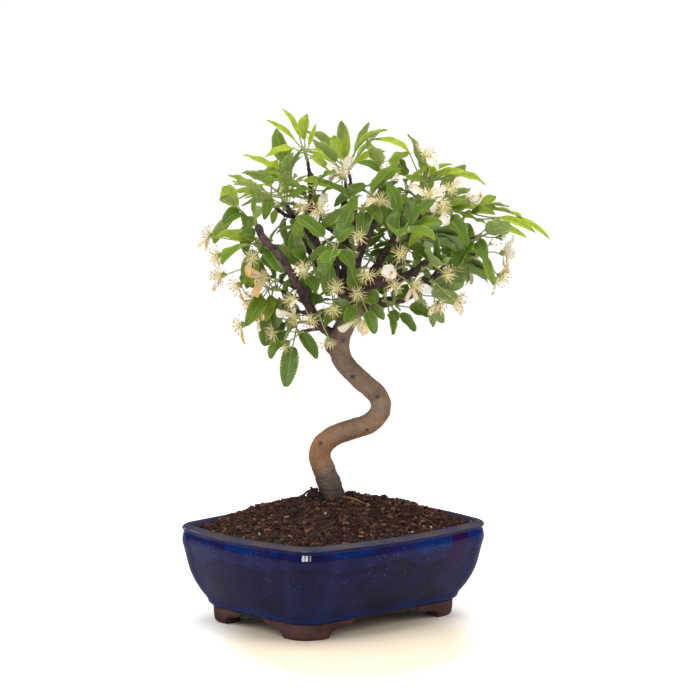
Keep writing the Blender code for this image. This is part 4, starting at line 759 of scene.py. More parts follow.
# Each limb: its route, and its thickness at each end
LIMBS = [
    ([(0.009, 0.004, 0.209), (-0.008, 0.000, 0.217), (-0.019, -0.014, 0.2365), (-0.0255, -0.036, 0.2505),
      (-0.0335, -0.046, 0.2655), (-0.0395, -0.046, 0.2750), (-0.050, -0.044, 0.2850),
      (-0.055, -0.042, 0.2955)], 0.0038, 0.0027),
    ([(0.012, 0.000, 0.246), (-0.003, 0.010, 0.266), (-0.014, 0.014, 0.281),
      (-0.020, 0.014, 0.292), (-0.017, 0.010, 0.310), (-0.017, 0.006, 0.331)], 0.0032, 0.0021),
    ([(-0.019, 0.014, 0.290), (-0.027, 0.018, 0.297), (-0.035, 0.020, 0.303)], 0.0024, 0.0018),
    ([(0.016, 0.001, 0.226), (0.013, -0.004, 0.247), (0.010, -0.006, 0.264),
      (0.008, -0.004, 0.283), (0.007, 0.000, 0.301), (0.009, 0.004, 0.316)], 0.0064, 0.0022),
    ([(0.012, -0.005, 0.250), (0.021, -0.014, 0.277), (0.030, -0.020, 0.297),
      (0.032, -0.018, 0.313)], 0.0030, 0.0020),
    ([(0.014, -0.002, 0.243), (0.028, -0.008, 0.258), (0.037, -0.008, 0.273),
      (0.046, -0.002, 0.287), (0.050, 0.002, 0.308)], 0.0032, 0.0020),
    ([(0.014, 0.000, 0.227), (0.030, 0.006, 0.234), (0.043, 0.010, 0.236),
      (0.058, 0.016, 0.240), (0.073, 0.020, 0.249)], 0.0052, 0.0024),
    ([(0.013, -0.002, 0.240), (0.028, -0.011, 0.249), (0.043, -0.016, 0.253), (0.057, -0.018, 0.259),
      (0.069, -0.016, 0.267), (0.082, -0.012, 0.271), (0.097, -0.008, 0.277)], 0.0036, 0.0020),
    ([(0.045, -0.016, 0.254), (0.054, -0.008, 0.278), (0.062, -0.004, 0.292),
      (0.065, 0.000, 0.314)], 0.0028, 0.0019),
    ([(0.013, 0.002, 0.232), (0.000, 0.022, 0.248), (-0.016, 0.038, 0.268),
      (-0.030, 0.048, 0.292)], 0.0036, 0.0020),
    ([(0.017, 0.002, 0.236), (0.032, 0.026, 0.254), (0.050, 0.042, 0.274),
      (0.066, 0.048, 0.296)], 0.0034, 0.0020),
    ([(0.009, -0.003, 0.272), (0.014, 0.022, 0.290), (0.016, 0.040, 0.306),
      (0.012, 0.046, 0.322)], 0.0028, 0.0019),
    ([(0.012, -0.002, 0.234), (0.004, -0.018, 0.248), (0.002, -0.034, 0.264),
      (0.008, -0.042, 0.280)], 0.0030, 0.0019),
    ([(0.030, -0.011, 0.250), (0.044, -0.028, 0.264), (0.056, -0.040, 0.282)], 0.0026, 0.0019),
]
SNAG_ROUTE = [(0.006, 0.004, 0.197), (-0.003, 0.001, 0.200), (-0.005, 0.000, 0.207)]
# Pruning scars and knots on the front of the trunk: (x, height, radius, how far they stand out)
SCARS = [(0.0140, 0.1810, 0.0034, 0.0011), (0.0325, 0.1665, 0.0030, 0.0009),
         (-0.0095, 0.1315, 0.0030, 0.0010), (0.0245, 0.1420, 0.0026, 0.0007),
         (-0.0005, 0.1105, 0.0028, 0.0008), (0.0070, 0.2080, 0.0032, 0.0010)]
TRUNK_FRONT = 0.0072
WOOD_VOXEL = 0.00080
# How old the bark is: from the trunk's smooth tan over the limbs and spurs down to wood that is still green
OLD, LIMB, SPUR, GREEN = 1.0, 0.2, 0.0, -1.2
# A limb that leaves the trunk low down has old bark for a way. One limb is green from some height up.
LOW_LIMB, OLD_WAY = 0.24, 0.030
GREEN_LIMB, GREEN_FROM, GREEN_WITHIN, NEAR_GREEN_TIP = 8, 0.268, 0.016, 0.022
SPUR_STEPS_BACK, SPUR_THICK, SPUR_ENDS = 6, 0.0019, (0.00135, 0.00145)
OTHER_WOOD = len(LIMBS) + 1
ROOTS, ROOT_SHARES = 6, (0.25, 0.45, 0.65, 0.85, 1.0)
ROOT_RADII = (0.0042, 0.0038, 0.0030, 0.0022, 0.0014)
RUSTY_BEND = tree_frame @ Vector((-0.013, -0.004, 0.127))
TAN, TAN_PATCH = ((0.150, 0.095, 0.060), (0.215, 0.148, 0.098)), (0.26, 0.125, 0.050)
TAN_CRACK, TAN_DOT = (0.085, 0.050, 0.034), (0.42, 0.34, 0.26)
PURPLE_BROWN, LIMB_DOT = ((0.030, 0.014, 0.017), (0.092, 0.050, 0.046)), (0.22, 0.17, 0.14)
GREEN_WOOD = (0.200, 0.250, 0.055), (0.300, 0.340, 0.105)
RUST, DARKER_FOOT, HEALED_SCAR = (0.290, 0.130, 0.048), (0.050, 0.030, 0.026), (0.040, 0.024, 0.020)
# How the CAD shoots and clusters are told apart into stalks, cups, buds and blades: sides and reaches
STEM_SIDES, LEAF_STALK_REACH = 5, 0.0009
BLOOM_STALK_SIDE, BLOOM_STALK_MARGIN = 0.001247, 0.00003
CUP_SIDE, CUP_MARGIN, CUP_HEIGHT, CUP_REACH = 0.002208, 0.00005, 0.0037, 0.0022
BUD_CUP, BUD_REACH = 0.0012, 0.0045


def welded(node):
    """A CAD node's corners with their doubles joined, in the tree's frame, and each corner's neighbours."""
    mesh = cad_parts[node].data
    raw = np.empty(len(mesh.vertices) * 3)
    mesh.vertices.foreach_get("co", raw)
    spots, where = np.unique(raw.reshape(-1, 3).round(6), axis=0, return_inverse=True)
    where = where.ravel()
    near = [set() for _ in spots]
    for edge in mesh.edges:
        first, second = (int(where[index]) for index in edge.vertices)
        if first != second:
            near[first].add(second)
            near[second].add(first)
    back = tree_frame.inverted()
    return [back @ Vector(spot) for spot in spots], near


def middle_of(corners, spots):
    return sum((spots[corner] for corner in corners), Vector()) / len(corners)


def rings_before(tip, near, size):
    """The rings of corners met on the way down from a tip, while each has the given size."""
    met, ring, rings = {tip}, set(near[tip]), []
    while len(ring) == size:
        rings.append(sorted(ring))
        met |= ring
        ring = set().union(*(near[corner] for corner in ring)) - met
    return rings


def pairs_of(corners):
    return [(first, second) for first in corners for second in corners if first < second]


def gap(pair, spots):
    return (spots[pair[0]] - spots[pair[1]]).length


def split_stem(corners, spots, count):
    """The middles of a stem's rings of corners, from its thick end to its thin one."""
    cloud = np.array([spots[corner] for corner in corners])
    centre = cloud.mean(axis=0)
    axis = np.linalg.svd(cloud - centre)[2][0]
    order = np.argsort((cloud - centre) @ axis)
    groups = [[corners[index] for index in order[step * STEM_SIDES:(step + 1) * STEM_SIDES]]
              for step in range(count)]
    middles = [middle_of(group, spots) for group in groups]
    first, last = (sum((spots[corner] - middles[end]).length for corner in groups[end]) for end in (0, -1))
    return middles[::-1] if first < last else middles


def read_shoot(node):
    """A shoot's stem and leaves: each leaf's root, stalk end, sections and tip."""
    spots, near = welded(node)
    leaves, used = [], set()
    for tip in range(len(spots)):
        if len(near[tip]) != 4:
            continue
        rings = rings_before(tip, near, 4)
        for depth in (3, 4):
            if len(rings) > depth:
                stalk = middle_of(rings[depth - 1], spots)
                if all((spots[corner] - stalk).length < LEAF_STALK_REACH for corner in rings[depth - 1]):
                    break
        else:
            continue
        sections = []
        for ring in reversed(rings[:depth - 1]):
            rib = min(pairs_of(ring), key=lambda pair: gap(pair, spots))
            edges = [corner for corner in ring if corner not in rib]
            sections.append((middle_of(rib, spots), spots[edges[0]], spots[edges[1]]))
        leaves.append({"root": middle_of(rings[depth], spots), "stalk": stalk, "sections": sections,
                       "tip": spots[tip]})
        used.update([tip], *(set(ring) for ring in rings[:depth]))
    stem = [corner for corner in range(len(spots)) if corner not in used]
    return split_stem(stem, spots, 4), leaves


def read_cluster(node):
    """A cluster's base and blooms: each bloom's stalk, centre, axis and petals, and whether it is a bud."""
    spots, near = welded(node)
    cliques = []
    for first in range(len(spots)):
        for second in (corner for corner in near[first] if corner > first):
            for third in (corner for corner in near[first] & near[second] if corner > second):
                if all(abs(gap(pair, spots) - BLOOM_STALK_SIDE) < BLOOM_STALK_MARGIN
                       for pair in pairs_of((first, second, third))):
                    cliques.append((first, second, third))
    ring_corners = {corner for clique in cliques for corner in clique}
    blooms, used = [], set(ring_corners)
    for clique in cliques:
        foot = middle_of(clique, spots)
        around = set().union(*(near[corner] for corner in clique)) - set(clique)
        beyond = sorted(around - ring_corners)
        before = sorted(around & ring_corners)
        if len(beyond) != 3 or len(before) != 3:
            continue
        if any(abs(gap(pair, spots) - CUP_SIDE) > CUP_MARGIN for pair in zip(beyond, beyond[1:])):
            continue
        to_cup = middle_of(beyond, spots) - foot
        below = sorted(set().union(*(near[corner] for corner in before)) - set(before) - set(clique))
        axis = to_cup.normalized()
        blooms.append({"root": middle_of(below, spots), "knee": middle_of(before, spots), "foot": foot,
                       "axis": axis, "centre": foot + axis * CUP_HEIGHT, "bud": to_cup.length < BUD_CUP,
                       "petals": []})
    for bloom in blooms:
        reach = BUD_REACH if bloom["bud"] else CUP_REACH
        bloom["hub"] = {corner for corner in range(len(spots)) if corner not in ring_corners
                        and (spots[corner] - bloom["centre"]).length < reach}
        used |= bloom["hub"]
    hubs = set().union(*(bloom["hub"] for bloom in blooms))
    for tip in range(len(spots)):
        if len(near[tip]) != 3 or tip in used:
            continue
        rings = rings_before(tip, near, 3)
        if rings and set(rings[0]) <= hubs:
            used.add(tip)
        elif len(rings) > 3 and set(rings[3]) <= hubs:
            sections = []
            for ring in reversed(rings[:3]):
                wide = max(pairs_of(ring), key=lambda pair: gap(pair, spots))
                back = next(corner for corner in ring if corner not in wide)
                sections.append((spots[back], spots[wide[0]], spots[wide[1]]))
            bloom = next(item for item in blooms if set(rings[3]) <= item["hub"])
            bloom["petals"].append({"root": middle_of(rings[3], spots), "sections": sections,
                                    "tip": spots[tip]})
            used.update([tip], *(set(ring) for ring in rings[:3]))
    base = [corner for corner in range(len(spots)) if corner not in used]
    return split_stem(base, spots, 2), blooms


def is_numbered(name, stem):
    return name.startswith(stem) and name[len(stem):].isdigit()


shoots = {name: read_shoot(name) for name in sorted(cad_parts) if is_numbered(name, "leafy_shoot_")}
clusters = {name: read_cluster(name) for name in sorted(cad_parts)
            if is_numbered(name, "flower_cluster_")}


def spur_route(end, heading, limb_samples):
    """A short woody spur from a point some way back along the nearest limb to the end of a green stem."""
    nearest = min(range(len(limb_samples)), key=lambda index: (limb_samples[index][0] - end).length)
    back = nearest - SPUR_STEPS_BACK
    if back < 0 or limb_samples[back][2] != limb_samples[nearest][2]:
        back = nearest
    root, radius = limb_samples[back][:2]
    reach = (end - root).length
    knee = root.lerp(end, 0.55) + heading * (-0.12 * reach) + Vector((0, 0, 0.03 * reach))
    return smooth_route([root, knee, end], 5), min(radius * 0.85, SPUR_THICK)


def make_wood():
    """The wood as one skin, and samples along it: centre, radius, number of the limb and age of the bark."""
    points, faces, samples = [], [], []

    def add_stem(path, radii, sides, age, limb=OTHER_WOOD):
        made, skin = stem_tube(path, radii, sides, len(points))
        points.extend(made)
        faces.extend(skin)
        ages = age if isinstance(age, list) else [age] * len(path)
        samples.extend((centre, radius, limb, old) for centre, radius, old in zip(path, radii, ages))

    trunk = smooth_route(TRUNK_ROUTE, 6)
    radii = np.interp(np.linspace(0, len(TRUNK_RADII) - 1, len(trunk)), range(len(TRUNK_RADII)), TRUNK_RADII)
    add_stem(trunk, list(radii), 28, OLD, 0)
    limb_samples = []
    for number, (route, thick, thin) in enumerate(LIMBS):
        path = smooth_route(route, 8)
        radii = [thick + (thin - thick) * step / (len(path) - 1) for step in range(len(path))]
        radii = [radius * (1 + 0.22 * noise.noise(centre * 130 + Vector((number, 0, 0))))
                 for radius, centre in zip(radii, path)]
        ages = [LIMB] * len(path)
        if route[0][2] < LOW_LIMB:
            ages = [max(LIMB, 1 - (centre - path[0]).length / OLD_WAY) for centre in path]
        if number == GREEN_LIMB:
            ages = [LIMB + (GREEN - LIMB) * min(1.0, max(0.0, (centre.z - GREEN_FROM) / GREEN_WITHIN))
                    for centre in path]
        add_stem(path, radii, 14, ages, number + 1)
        limb_samples.extend((centre, radius, number + 1) for centre, radius in zip(path, radii))
    add_stem(smooth_route(SNAG_ROUTE, 5), list(np.linspace(0.0030, 0.0023, 11)), 12, [OLD] * 6 + [0.3] * 5)
    for number, (path, _) in enumerate(list(shoots.values()) + list(clusters.values())):
        heading = (path[1] - path[0]).normalized()
        end = path[0] + heading * 0.0006
        route, thick = spur_route(end, heading, limb_samples)
        widths = [width * (1 + 0.16 * math.sin(step * 2.3 + number))
                  for step, width in enumerate(np.linspace(thick, SPUR_ENDS[0], len(route)))]
        widths[-1] = SPUR_ENDS[1]
        on_green = (Vector(LIMBS[GREEN_LIMB][0][-1]) - end).length < NEAR_GREEN_TIP
        add_stem(route, widths, 9, GREEN if on_green else SPUR)
    for number in range(ROOTS):
        turn = number / ROOTS * math.tau + 0.4
        reach = 0.016 + 0.006 * math.sin(number * 2.1)
        out = Vector((math.cos(turn), math.sin(turn), 0.0))
        path = [STEM_FOOT + out * share * reach
                + Vector((0, 0, 0.0955 - 0.013 * share - 0.006 * share * share)) for share in ROOT_SHARES]
        add_stem(path, ROOT_RADII, 10, OLD)
    wood = add_piece("tree_wood", points, faces, [])
    remesh = wood.modifiers.new("grown_together", "REMESH")
    remesh.mode, remesh.voxel_size, remesh.use_smooth_shade = "VOXEL", WOOD_VOXEL, True
    settle(wood)
    smoothing = wood.modifiers.new("healed", "SMOOTH")
    smoothing.factor, smoothing.iterations = 0.5, 5
    settle(wood)
    return wood, samples


def relief(wood, samples):
    """Bark relief: soft wrinkles, knots and scars. It also notes each point's age and nearness to a scar."""
    tree = KDTree(len(samples))
    for index, sample in enumerate(samples):
        tree.insert(sample[0], index)
    tree.balance()
    mesh = wood.data
    ages, scars, moved, front_scars = [], [], [], []
    for x, height, radius, rise in SCARS:
        nearest = tree.find(Vector((x, 0.0, height)))[0]
        front_scars.append((Vector((x, nearest.y - TRUNK_FRONT, height)), radius, rise))
    for vertex in mesh.vertices:
        spot = vertex.co
        _, radius, _, age = samples[tree.find(spot)[1]]
        if age > 0.5:
            wrinkled = 0.00022 + 0.00060 * min(1.0, max(0.0, (0.116 - spot.z) / 0.012))
            push = 0.00045 * noise.noise(spot * 160)
            push += wrinkled * noise.noise(Vector((spot.x * 220, spot.y * 220, spot.z * 1000)))
        else:
            push = 0.00070 * noise.noise(spot * 240) + 0.00042 * noise.noise(spot * 620)
            push *= min(1.0, radius / 0.002)
        scar = 0.0
        for middle, size, rise in front_scars:
            away = (spot - middle).length / size
            if away < 1.7:
                ring = math.exp(-((away - 0.75) / 0.38) ** 2)
                push += rise * (ring - 0.55 * math.exp(-(away / 0.45) ** 2))
                scar = max(scar, math.exp(-(away / 0.62) ** 4))
        moved.append(spot + vertex.normal * push)
        ages.append(age)
        scars.append(scar)
    mesh.vertices.foreach_set("co", [value for point in moved for value in point])
    for label, listed in (("age", ages), ("scar", scars)):
        mesh.attributes.new(label, "FLOAT", "POINT").data.foreach_set("value", listed)
    blur_values(mesh, "age", 10)
    mesh.transform(tree_frame)
    mesh.update()


def blur_values(mesh, label, rounds):
    """Even out a value kept on a mesh's points, so that one age of bark runs softly into the next."""
    ends = np.empty(len(mesh.edges) * 2, int)
    mesh.edges.foreach_get("vertices", ends)
    ends = ends.reshape(-1, 2)
    values = np.empty(len(mesh.vertices), np.float32)
    mesh.attributes[label].data.foreach_get("value", values)
    for _ in range(rounds):
        total, count = values.copy(), np.ones(len(values))
        np.add.at(total, ends[:, 0], values[ends[:, 1]])
        np.add.at(total, ends[:, 1], values[ends[:, 0]])
        np.add.at(count, ends.ravel(), 1)
        values = (total / count).astype(np.float32)
    mesh.attributes[label].data.foreach_set("value", values)


def bark():
    """Smooth grey-tan trunk bark with orange-brown patches and pale dots; limbs are purple-brown."""
    material, nodes, shader = new_finish("bark", roughness=0.7)
    spot = stretched(nodes)
    age = nodes.value_of("age")
    tan = nodes.blend(blotch(nodes, spot, 90.0, 0.30, 0.70), *TAN)
    tan = nodes.over(tan, blotch(nodes, spot, 34.0, 0.50, 0.68), 0.60, TAN_PATCH)
    tan = nodes.over(tan, blotch(nodes, stretched(nodes, (1, 1, 2.4)), 420.0, 0.56, 0.68), 0.6, TAN_CRACK)
    tan = nodes.over(tan, blotch(nodes, stretched(nodes, (1, 1, 3.2)), 620.0, 0.66, 0.74), 0.8, TAN_DOT)
    young = nodes.blend(blotch(nodes, spot, 160.0, 0.30, 0.70), *PURPLE_BROWN)
    young = nodes.over(young, blotch(nodes, spot, 800.0, 0.60, 0.72), 0.6, LIMB_DOT)
    body = nodes.blend(nodes.ramp(age, 0.30, 0.95), young, tan)
    green = nodes.blend(blotch(nodes, spot, 120.0, 0.3, 0.7), *GREEN_WOOD)
    body = nodes.blend(nodes.ramp(age, -0.20, -0.80), body, green)
    height = nodes.add("SeparateXYZ", {0: spot}).outputs[2]
    from_bend = nodes.add("VectorMath", {0: spot, 1: RUSTY_BEND}, operation="DISTANCE").outputs["Value"]
    rusty = nodes.maths("MULTIPLY", nodes.ramp(from_bend, 0.026, 0.010),
                        blotch(nodes, spot, 120.0, 0.22, 0.55))
    body = nodes.over(body, rusty, 0.80, RUST)
    # Darker towards the trunk's foot
    body = nodes.over(body, nodes.ramp(height, 0.118, 0.092), 0.85, DARKER_FOOT)
    body = nodes.over(body, nodes.value_of("scar"), 0.85, HEALED_SCAR)
    nodes.join(body, shader.inputs["Base Color"])
    nodes.join(nodes.ramp(age, 0.0, 1.0, 0.82, 0.58), shader.inputs["Roughness"])
    bumped(nodes, shader, nodes.grain(stretched(nodes, (1, 1, 2.0)), 700.0, 5.0), 0.0006, 0.75)
    return material


wood, wood_samples = make_wood()
relief(wood, wood_samples)
wood.data.materials.append(bark())
wood.data.shade_smooth()
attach(wood, "root")
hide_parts("trunk")

# The leafy shoots: soft green stems with stalked, finely toothed leaves. Young outer leaves are narrow and
# yellow-green, inner ones broad and dark, and all are paler and matter underneath.
BLADE_ACROSS = (-1.0, -0.70, -0.38, -0.09, 0.0, 0.09, 0.38, 0.70, 1.0)
LEAF_STATIONS = 25
CROWN_HEART = Vector((0.022, 0.000, 0.262))
LOW_LEAVES = 0.234
SMALL_LEAF = 0.62
GOLDEN_TURN = math.radians(137.5)
# Where a CAD leaf's two or three sections lie along its blade
SECTION_STEPS = {2: (0.28, 0.70), 3: (0.20, 0.52, 0.82)}
SHOOT_RADII = (0.00135, 0.00110, 0.00098, 0.00070)
LEAF_STALK_RADII = (0.00085, 0.00058, 0.00050, 0.00026)
STALK_GREEN, STALK_BLUSH = ((0.30, 0.33, 0.095), (0.40, 0.42, 0.16)), (0.36, 0.17, 0.09)


def leaf_outline(share):
    """Half width of a crabapple leaf, 0 at its base and 1 at its tip: widest below the middle."""
    return max(0.0, math.sin(math.pi * share ** 0.78)) ** 0.85


class Sheaf:
    """Points, faces, finishes and leaf values of a piece while it is being made."""

    def __init__(self):
        self.points, self.faces, self.finishes = [], [], []
        self.values = {"across": [], "along": [], "tint": [], "youth": []}

    def add(self, points, faces, finish, across=0.0, along=0.0, tint=0.5, youth=0.5):
        self.points.extend(points)
        self.faces.extend(faces)
        self.finishes.extend([finish] * len(faces) if isinstance(finish, int) else finish)
        for label, value in (("across", across), ("along", along), ("tint", tint), ("youth", youth)):
            self.values[label].extend(value if isinstance(value, list) else [value] * len(points))

    def add_tube(self, path, radii, sides, finish, tint, youth, rounded=0.0):
        made, skin = stem_tube(path, radii, sides, len(self.points), rounded)
        self.add(made, skin, finish, tint=tint, youth=youth)

    def add_turned(self, profile, foot, axis, sides, finish, tint, youth, ribs=0.0):
        made, skin = lathe(profile, foot, axis, sides, len(self.points), ribs)
        self.add(made, skin, finish, tint=tint, youth=youth)

    def as_piece(self, name, finishes):
        return add_piece(name, [tree_frame @ point for point in self.points], self.faces, finishes,
                         self.finishes, self.values, sharp=58)


def outward(axis, angle):
    """The way square to an axis, at an angle round it."""
    helper = axis.orthogonal().normalized()
    return helper * math.cos(angle) + axis.cross(helper) * math.sin(angle)


def across_of(sections):
    """The way from edge to edge of a blade's sections."""
    side = Vector()
    for _, left, right in sections:
        across = right - left
        side += across if across.dot(side) >= 0 else -across
    return side.normalized()


def sheet_faces(start, columns, stations):
    """Faces of a thin closed sheet: pairs of one above and one below, then its two ends. A station holds its
    upper row of points, then the lower row, which shares its end points with the upper one."""
    stride = 2 * columns - 2

    def corner(station, row, column):
        if row and 0 < column < columns - 1:
            return start + station * stride + columns + column - 1
        return start + station * stride + column

    faces = []
    for station in range(stations - 1):
        for column in range(columns - 1):
            faces.append((corner(station, 0, column), corner(station, 0, column + 1),
                          corner(station + 1, 0, column + 1), corner(station + 1, 0, column)))
            faces.append((corner(station, 1, column + 1), corner(station, 1, column),
                          corner(station + 1, 1, column), corner(station + 1, 1, column + 1)))
    for station, order in ((0, -1), (stations - 1, 1)):
        rim = [corner(station, 0, column) for column in range(columns)]
        rim += [corner(station, 1, column) for column in range(columns - 2, 0, -1)]
        faces.append(tuple(rim[::order]))
    return faces


def rib_curve(leaf):
    """The midrib as a smooth curve of its share, the blade's half width, its frame and how far it folds."""
    steps = SECTION_STEPS[len(leaf["sections"])]
    knots = [leaf["stalk"]] + [section[0] for section in leaf["sections"]] + [leaf["tip"]]
    fit = np.polyfit([0.0, *steps, 1.0], np.array([tuple(knot) for knot in knots]), 2)
    half = sum((section[1] - section[2]).length / 2 / leaf_outline(step)
               for section, step in zip(leaf["sections"], steps)) / len(steps)
    side = across_of(leaf["sections"])
    facing = sum(((left + right) / 2 - rib for rib, left, right in leaf["sections"]), Vector())
    square = (leaf["tip"] - leaf["stalk"]).normalized().cross(side).normalized()
    if square.dot(facing) < 0:
        square, side = -square, -side
    lift = facing.dot(square) / len(leaf["sections"])
    return fit, half, side, square, lift / max(half, 1e-6)


def add_leaf(sheaf, leaf, youth, rng):
    """A fine closed blade round the CAD leaf's own rib, with a toothed edge, and its stalk."""
    fit, half, side, square, fold = rib_curve(leaf)
    length = (leaf["tip"] - leaf["stalk"]).length
    tint = rng.random()
    curl = rng.uniform(0.0, 0.16) * length
    half *= 1 - 0.30 * min(1.0, max(0.0, (leaf["stalk"].z - 0.285) / 0.03))
    twist = rng.uniform(-0.75, 0.75)
    waves = rng.uniform(1.6, 3.0)
    phase = rng.uniform(0, math.tau)
    wave_height = rng.uniform(0.04, 0.16) * half
    fold = min(0.75, fold + rng.uniform(0.0, 0.28))
    points, across_values, along_values = [], [], []
    columns = len(BLADE_ACROSS)
    for station in range(LEAF_STATIONS):
        share = 0.012 + 0.976 * (station / (LEAF_STATIONS - 1)) ** 0.92
        powers = np.array([share * share, share, 1.0])
        middle = Vector(powers @ fit) - square * curl * share ** 3
        slope = Vector(np.array([2 * share, 1.0, 0.0]) @ fit) - square * 3 * curl * share ** 2
        turn = Matrix.Rotation(twist * (share - 0.4), 3, slope.normalized())
        level = turn @ side
        up = turn @ square
        up = (up - slope.normalized() * up.dot(slope.normalized())).normalized()
        tooth = 0.032 * (1 if station % 2 else -1) * min(1.0, 8 * (1 - share))
        reach = half * leaf_outline(share) ** (0.60 + 0.40 * youth)
        for row, sign in ((0, 1.0), (1, -1.0)):
            for column, across in enumerate(BLADE_ACROSS):
                if row and column in (0, columns - 1):
                    continue
                wide = reach * across * (1 + (tooth if abs(across) == 1.0 else 0.0))
                rise = reach * fold * abs(across) ** 1.25
                rise += wave_height * across * across * math.sin(share * waves * math.tau + phase
                                                                 + (1.3 if across > 0 else 0.0))
                thick = 0.00013 * (1 - abs(across) ** 4)
                if row:
                    thick += 0.00034 * math.exp(-(wide / 0.00055) ** 2) * (1 - share) ** 0.6
                else:
                    thick -= 0.00016 * math.exp(-(wide / 0.0005) ** 2) * (1 - share) ** 0.5
                points.append(middle + level * wide + up * (rise + sign * thick))
                across_values.append(across)
                along_values.append(share)
    faces = sheet_faces(len(sheaf.points), columns, LEAF_STATIONS)
    finishes = [0, 1] * (len(faces) // 2 - 1) + [1, 1]
    sheaf.add(points, faces, finishes, across_values, along_values, tint, youth)
    into_blade = Vector(np.array([0.0025, 0.05, 1.0]) @ fit)
    sag = Vector((0, 0, -0.06)) * (leaf["stalk"] - leaf["root"]).length
    middle = leaf["root"].lerp(leaf["stalk"], 0.5) + sag
    path = smooth_route([leaf["root"], middle, leaf["stalk"], into_blade], 4)
    radii = list(np.interp(range(len(path)), (0, 1, 8, len(path) - 1), LEAF_STALK_RADII))
    sheaf.add_tube(path, radii, 7, 2, tint, youth)


def held_up(leaf):
    """A leaf that hangs low on the right side is a small one, so that the crown keeps its rounded foot."""
    if leaf["tip"].x < 0.004 or leaf["tip"].z > LOW_LEAVES:
        return leaf
    stalk = leaf["stalk"]
    return {"root": leaf["root"], "stalk": stalk, "tip": stalk.lerp(leaf["tip"], SMALL_LEAF),
            "sections": [tuple(stalk.lerp(point, SMALL_LEAF) for point in section)
                         for section in leaf["sections"]]}


def youth_of(leaf):
    """How young a leaf is: narrow, outer and upper leaves are the last to open."""
    _, half, *_ = rib_curve(leaf)
    length = (leaf["tip"] - leaf["stalk"]).length
    middle = leaf["stalk"].lerp(leaf["tip"], 0.6)
    outer = (middle - CROWN_HEART).length / 0.10
    narrow = 1 - 2 * half / length / 0.42
    return min(1.0, max(0.0, 0.70 * outer - 0.22 + 0.9 * narrow + 4.0 * (middle.z - 0.285)))


# What already fills the crown: points along every leaf and through every bloom
taken_room = [leaf["stalk"].lerp(leaf["tip"], share) for _, leaves in shoots.values() for leaf in leaves
              for share in (0.15, 0.4, 0.65, 0.9)]
taken_room += [bloom["centre"] + bloom["axis"] * 0.002 for _, blooms in clusters.values() for bloom in blooms]
# Room for inner leaves: an egg round the crown's heart, behind its front and above its foot, which is higher
# on the right side
FILL_REACH, FILL_FRONT = Vector((0.080, 0.072, 0.060)), -0.012
FILL_FOOT, FILL_FOOT_RIGHT, RIGHT_SIDE = 0.218, 0.243, 0.02
FILL_CLEARANCE, FILL_PROBES, FILL_TRIES = 0.0060, (0.2, 0.45, 0.7, 0.95), 60


def has_room(tip, probes):
    """Whether a leaf would lie above the crown's foot, behind its front and clear of what is there."""
    foot = FILL_FOOT_RIGHT if tip.x > RIGHT_SIDE else FILL_FOOT
    return (tip.z >= foot and min(probe.y for probe in probes) >= FILL_FRONT
            and all((probe - other).length >= FILL_CLEARANCE for probe in probes for other in taken_room))


def fill_leaves(path, wanted, rng):
    """Smaller leaves lower on a stem, where there is room for them inside the crown."""
    made = []
    for attempt in range(FILL_TRIES):
        if len(made) == wanted:
            break
        root = path[int(rng.uniform(0.15, 0.95) * (len(path) - 1))]
        heading = (path[-1] - path[0]).normalized()
        radial = outward(heading, attempt * GOLDEN_TURN + rng.uniform(-0.5, 0.5))
        length = rng.uniform(0.022, 0.034)
        inward = (CROWN_HEART - root) * 4.0
        way = radial + heading * rng.uniform(-0.2, 0.7) + inward + Vector((0, 0, rng.uniform(-0.3, 0.3)))
        way.normalize()
        tip = root + way * length
        offset = tip - CROWN_HEART
        if sum((offset[axis] / FILL_REACH[axis]) ** 2 for axis in range(3)) > 1:
            continue
        stalk = root.lerp(tip, rng.uniform(0.26, 0.36))
        probes = [stalk.lerp(tip, share) for share in FILL_PROBES]
        if not has_room(tip, probes):
            continue
        facing = heading * 0.6 + Vector((0, -0.35, 0.7)) + radial * 0.2
        side = way.cross(facing).normalized()
        up = side.cross(way).normalized()
        half = (tip - stalk).length * rng.uniform(0.19, 0.26)
        fold = rng.uniform(0.1, 0.4)
        sections = []
        for step in SECTION_STEPS[2]:
            rib = stalk.lerp(tip, step) + up * 0.05 * length * 4 * step * (1 - step)
            reach = half * leaf_outline(step)
            sections.append((rib, *(rib + sign * side * reach + up * reach * fold for sign in (-1, 1))))
        made.append({"root": root, "stalk": stalk, "sections": sections, "tip": tip})
        taken_room.extend(probes)
    return made


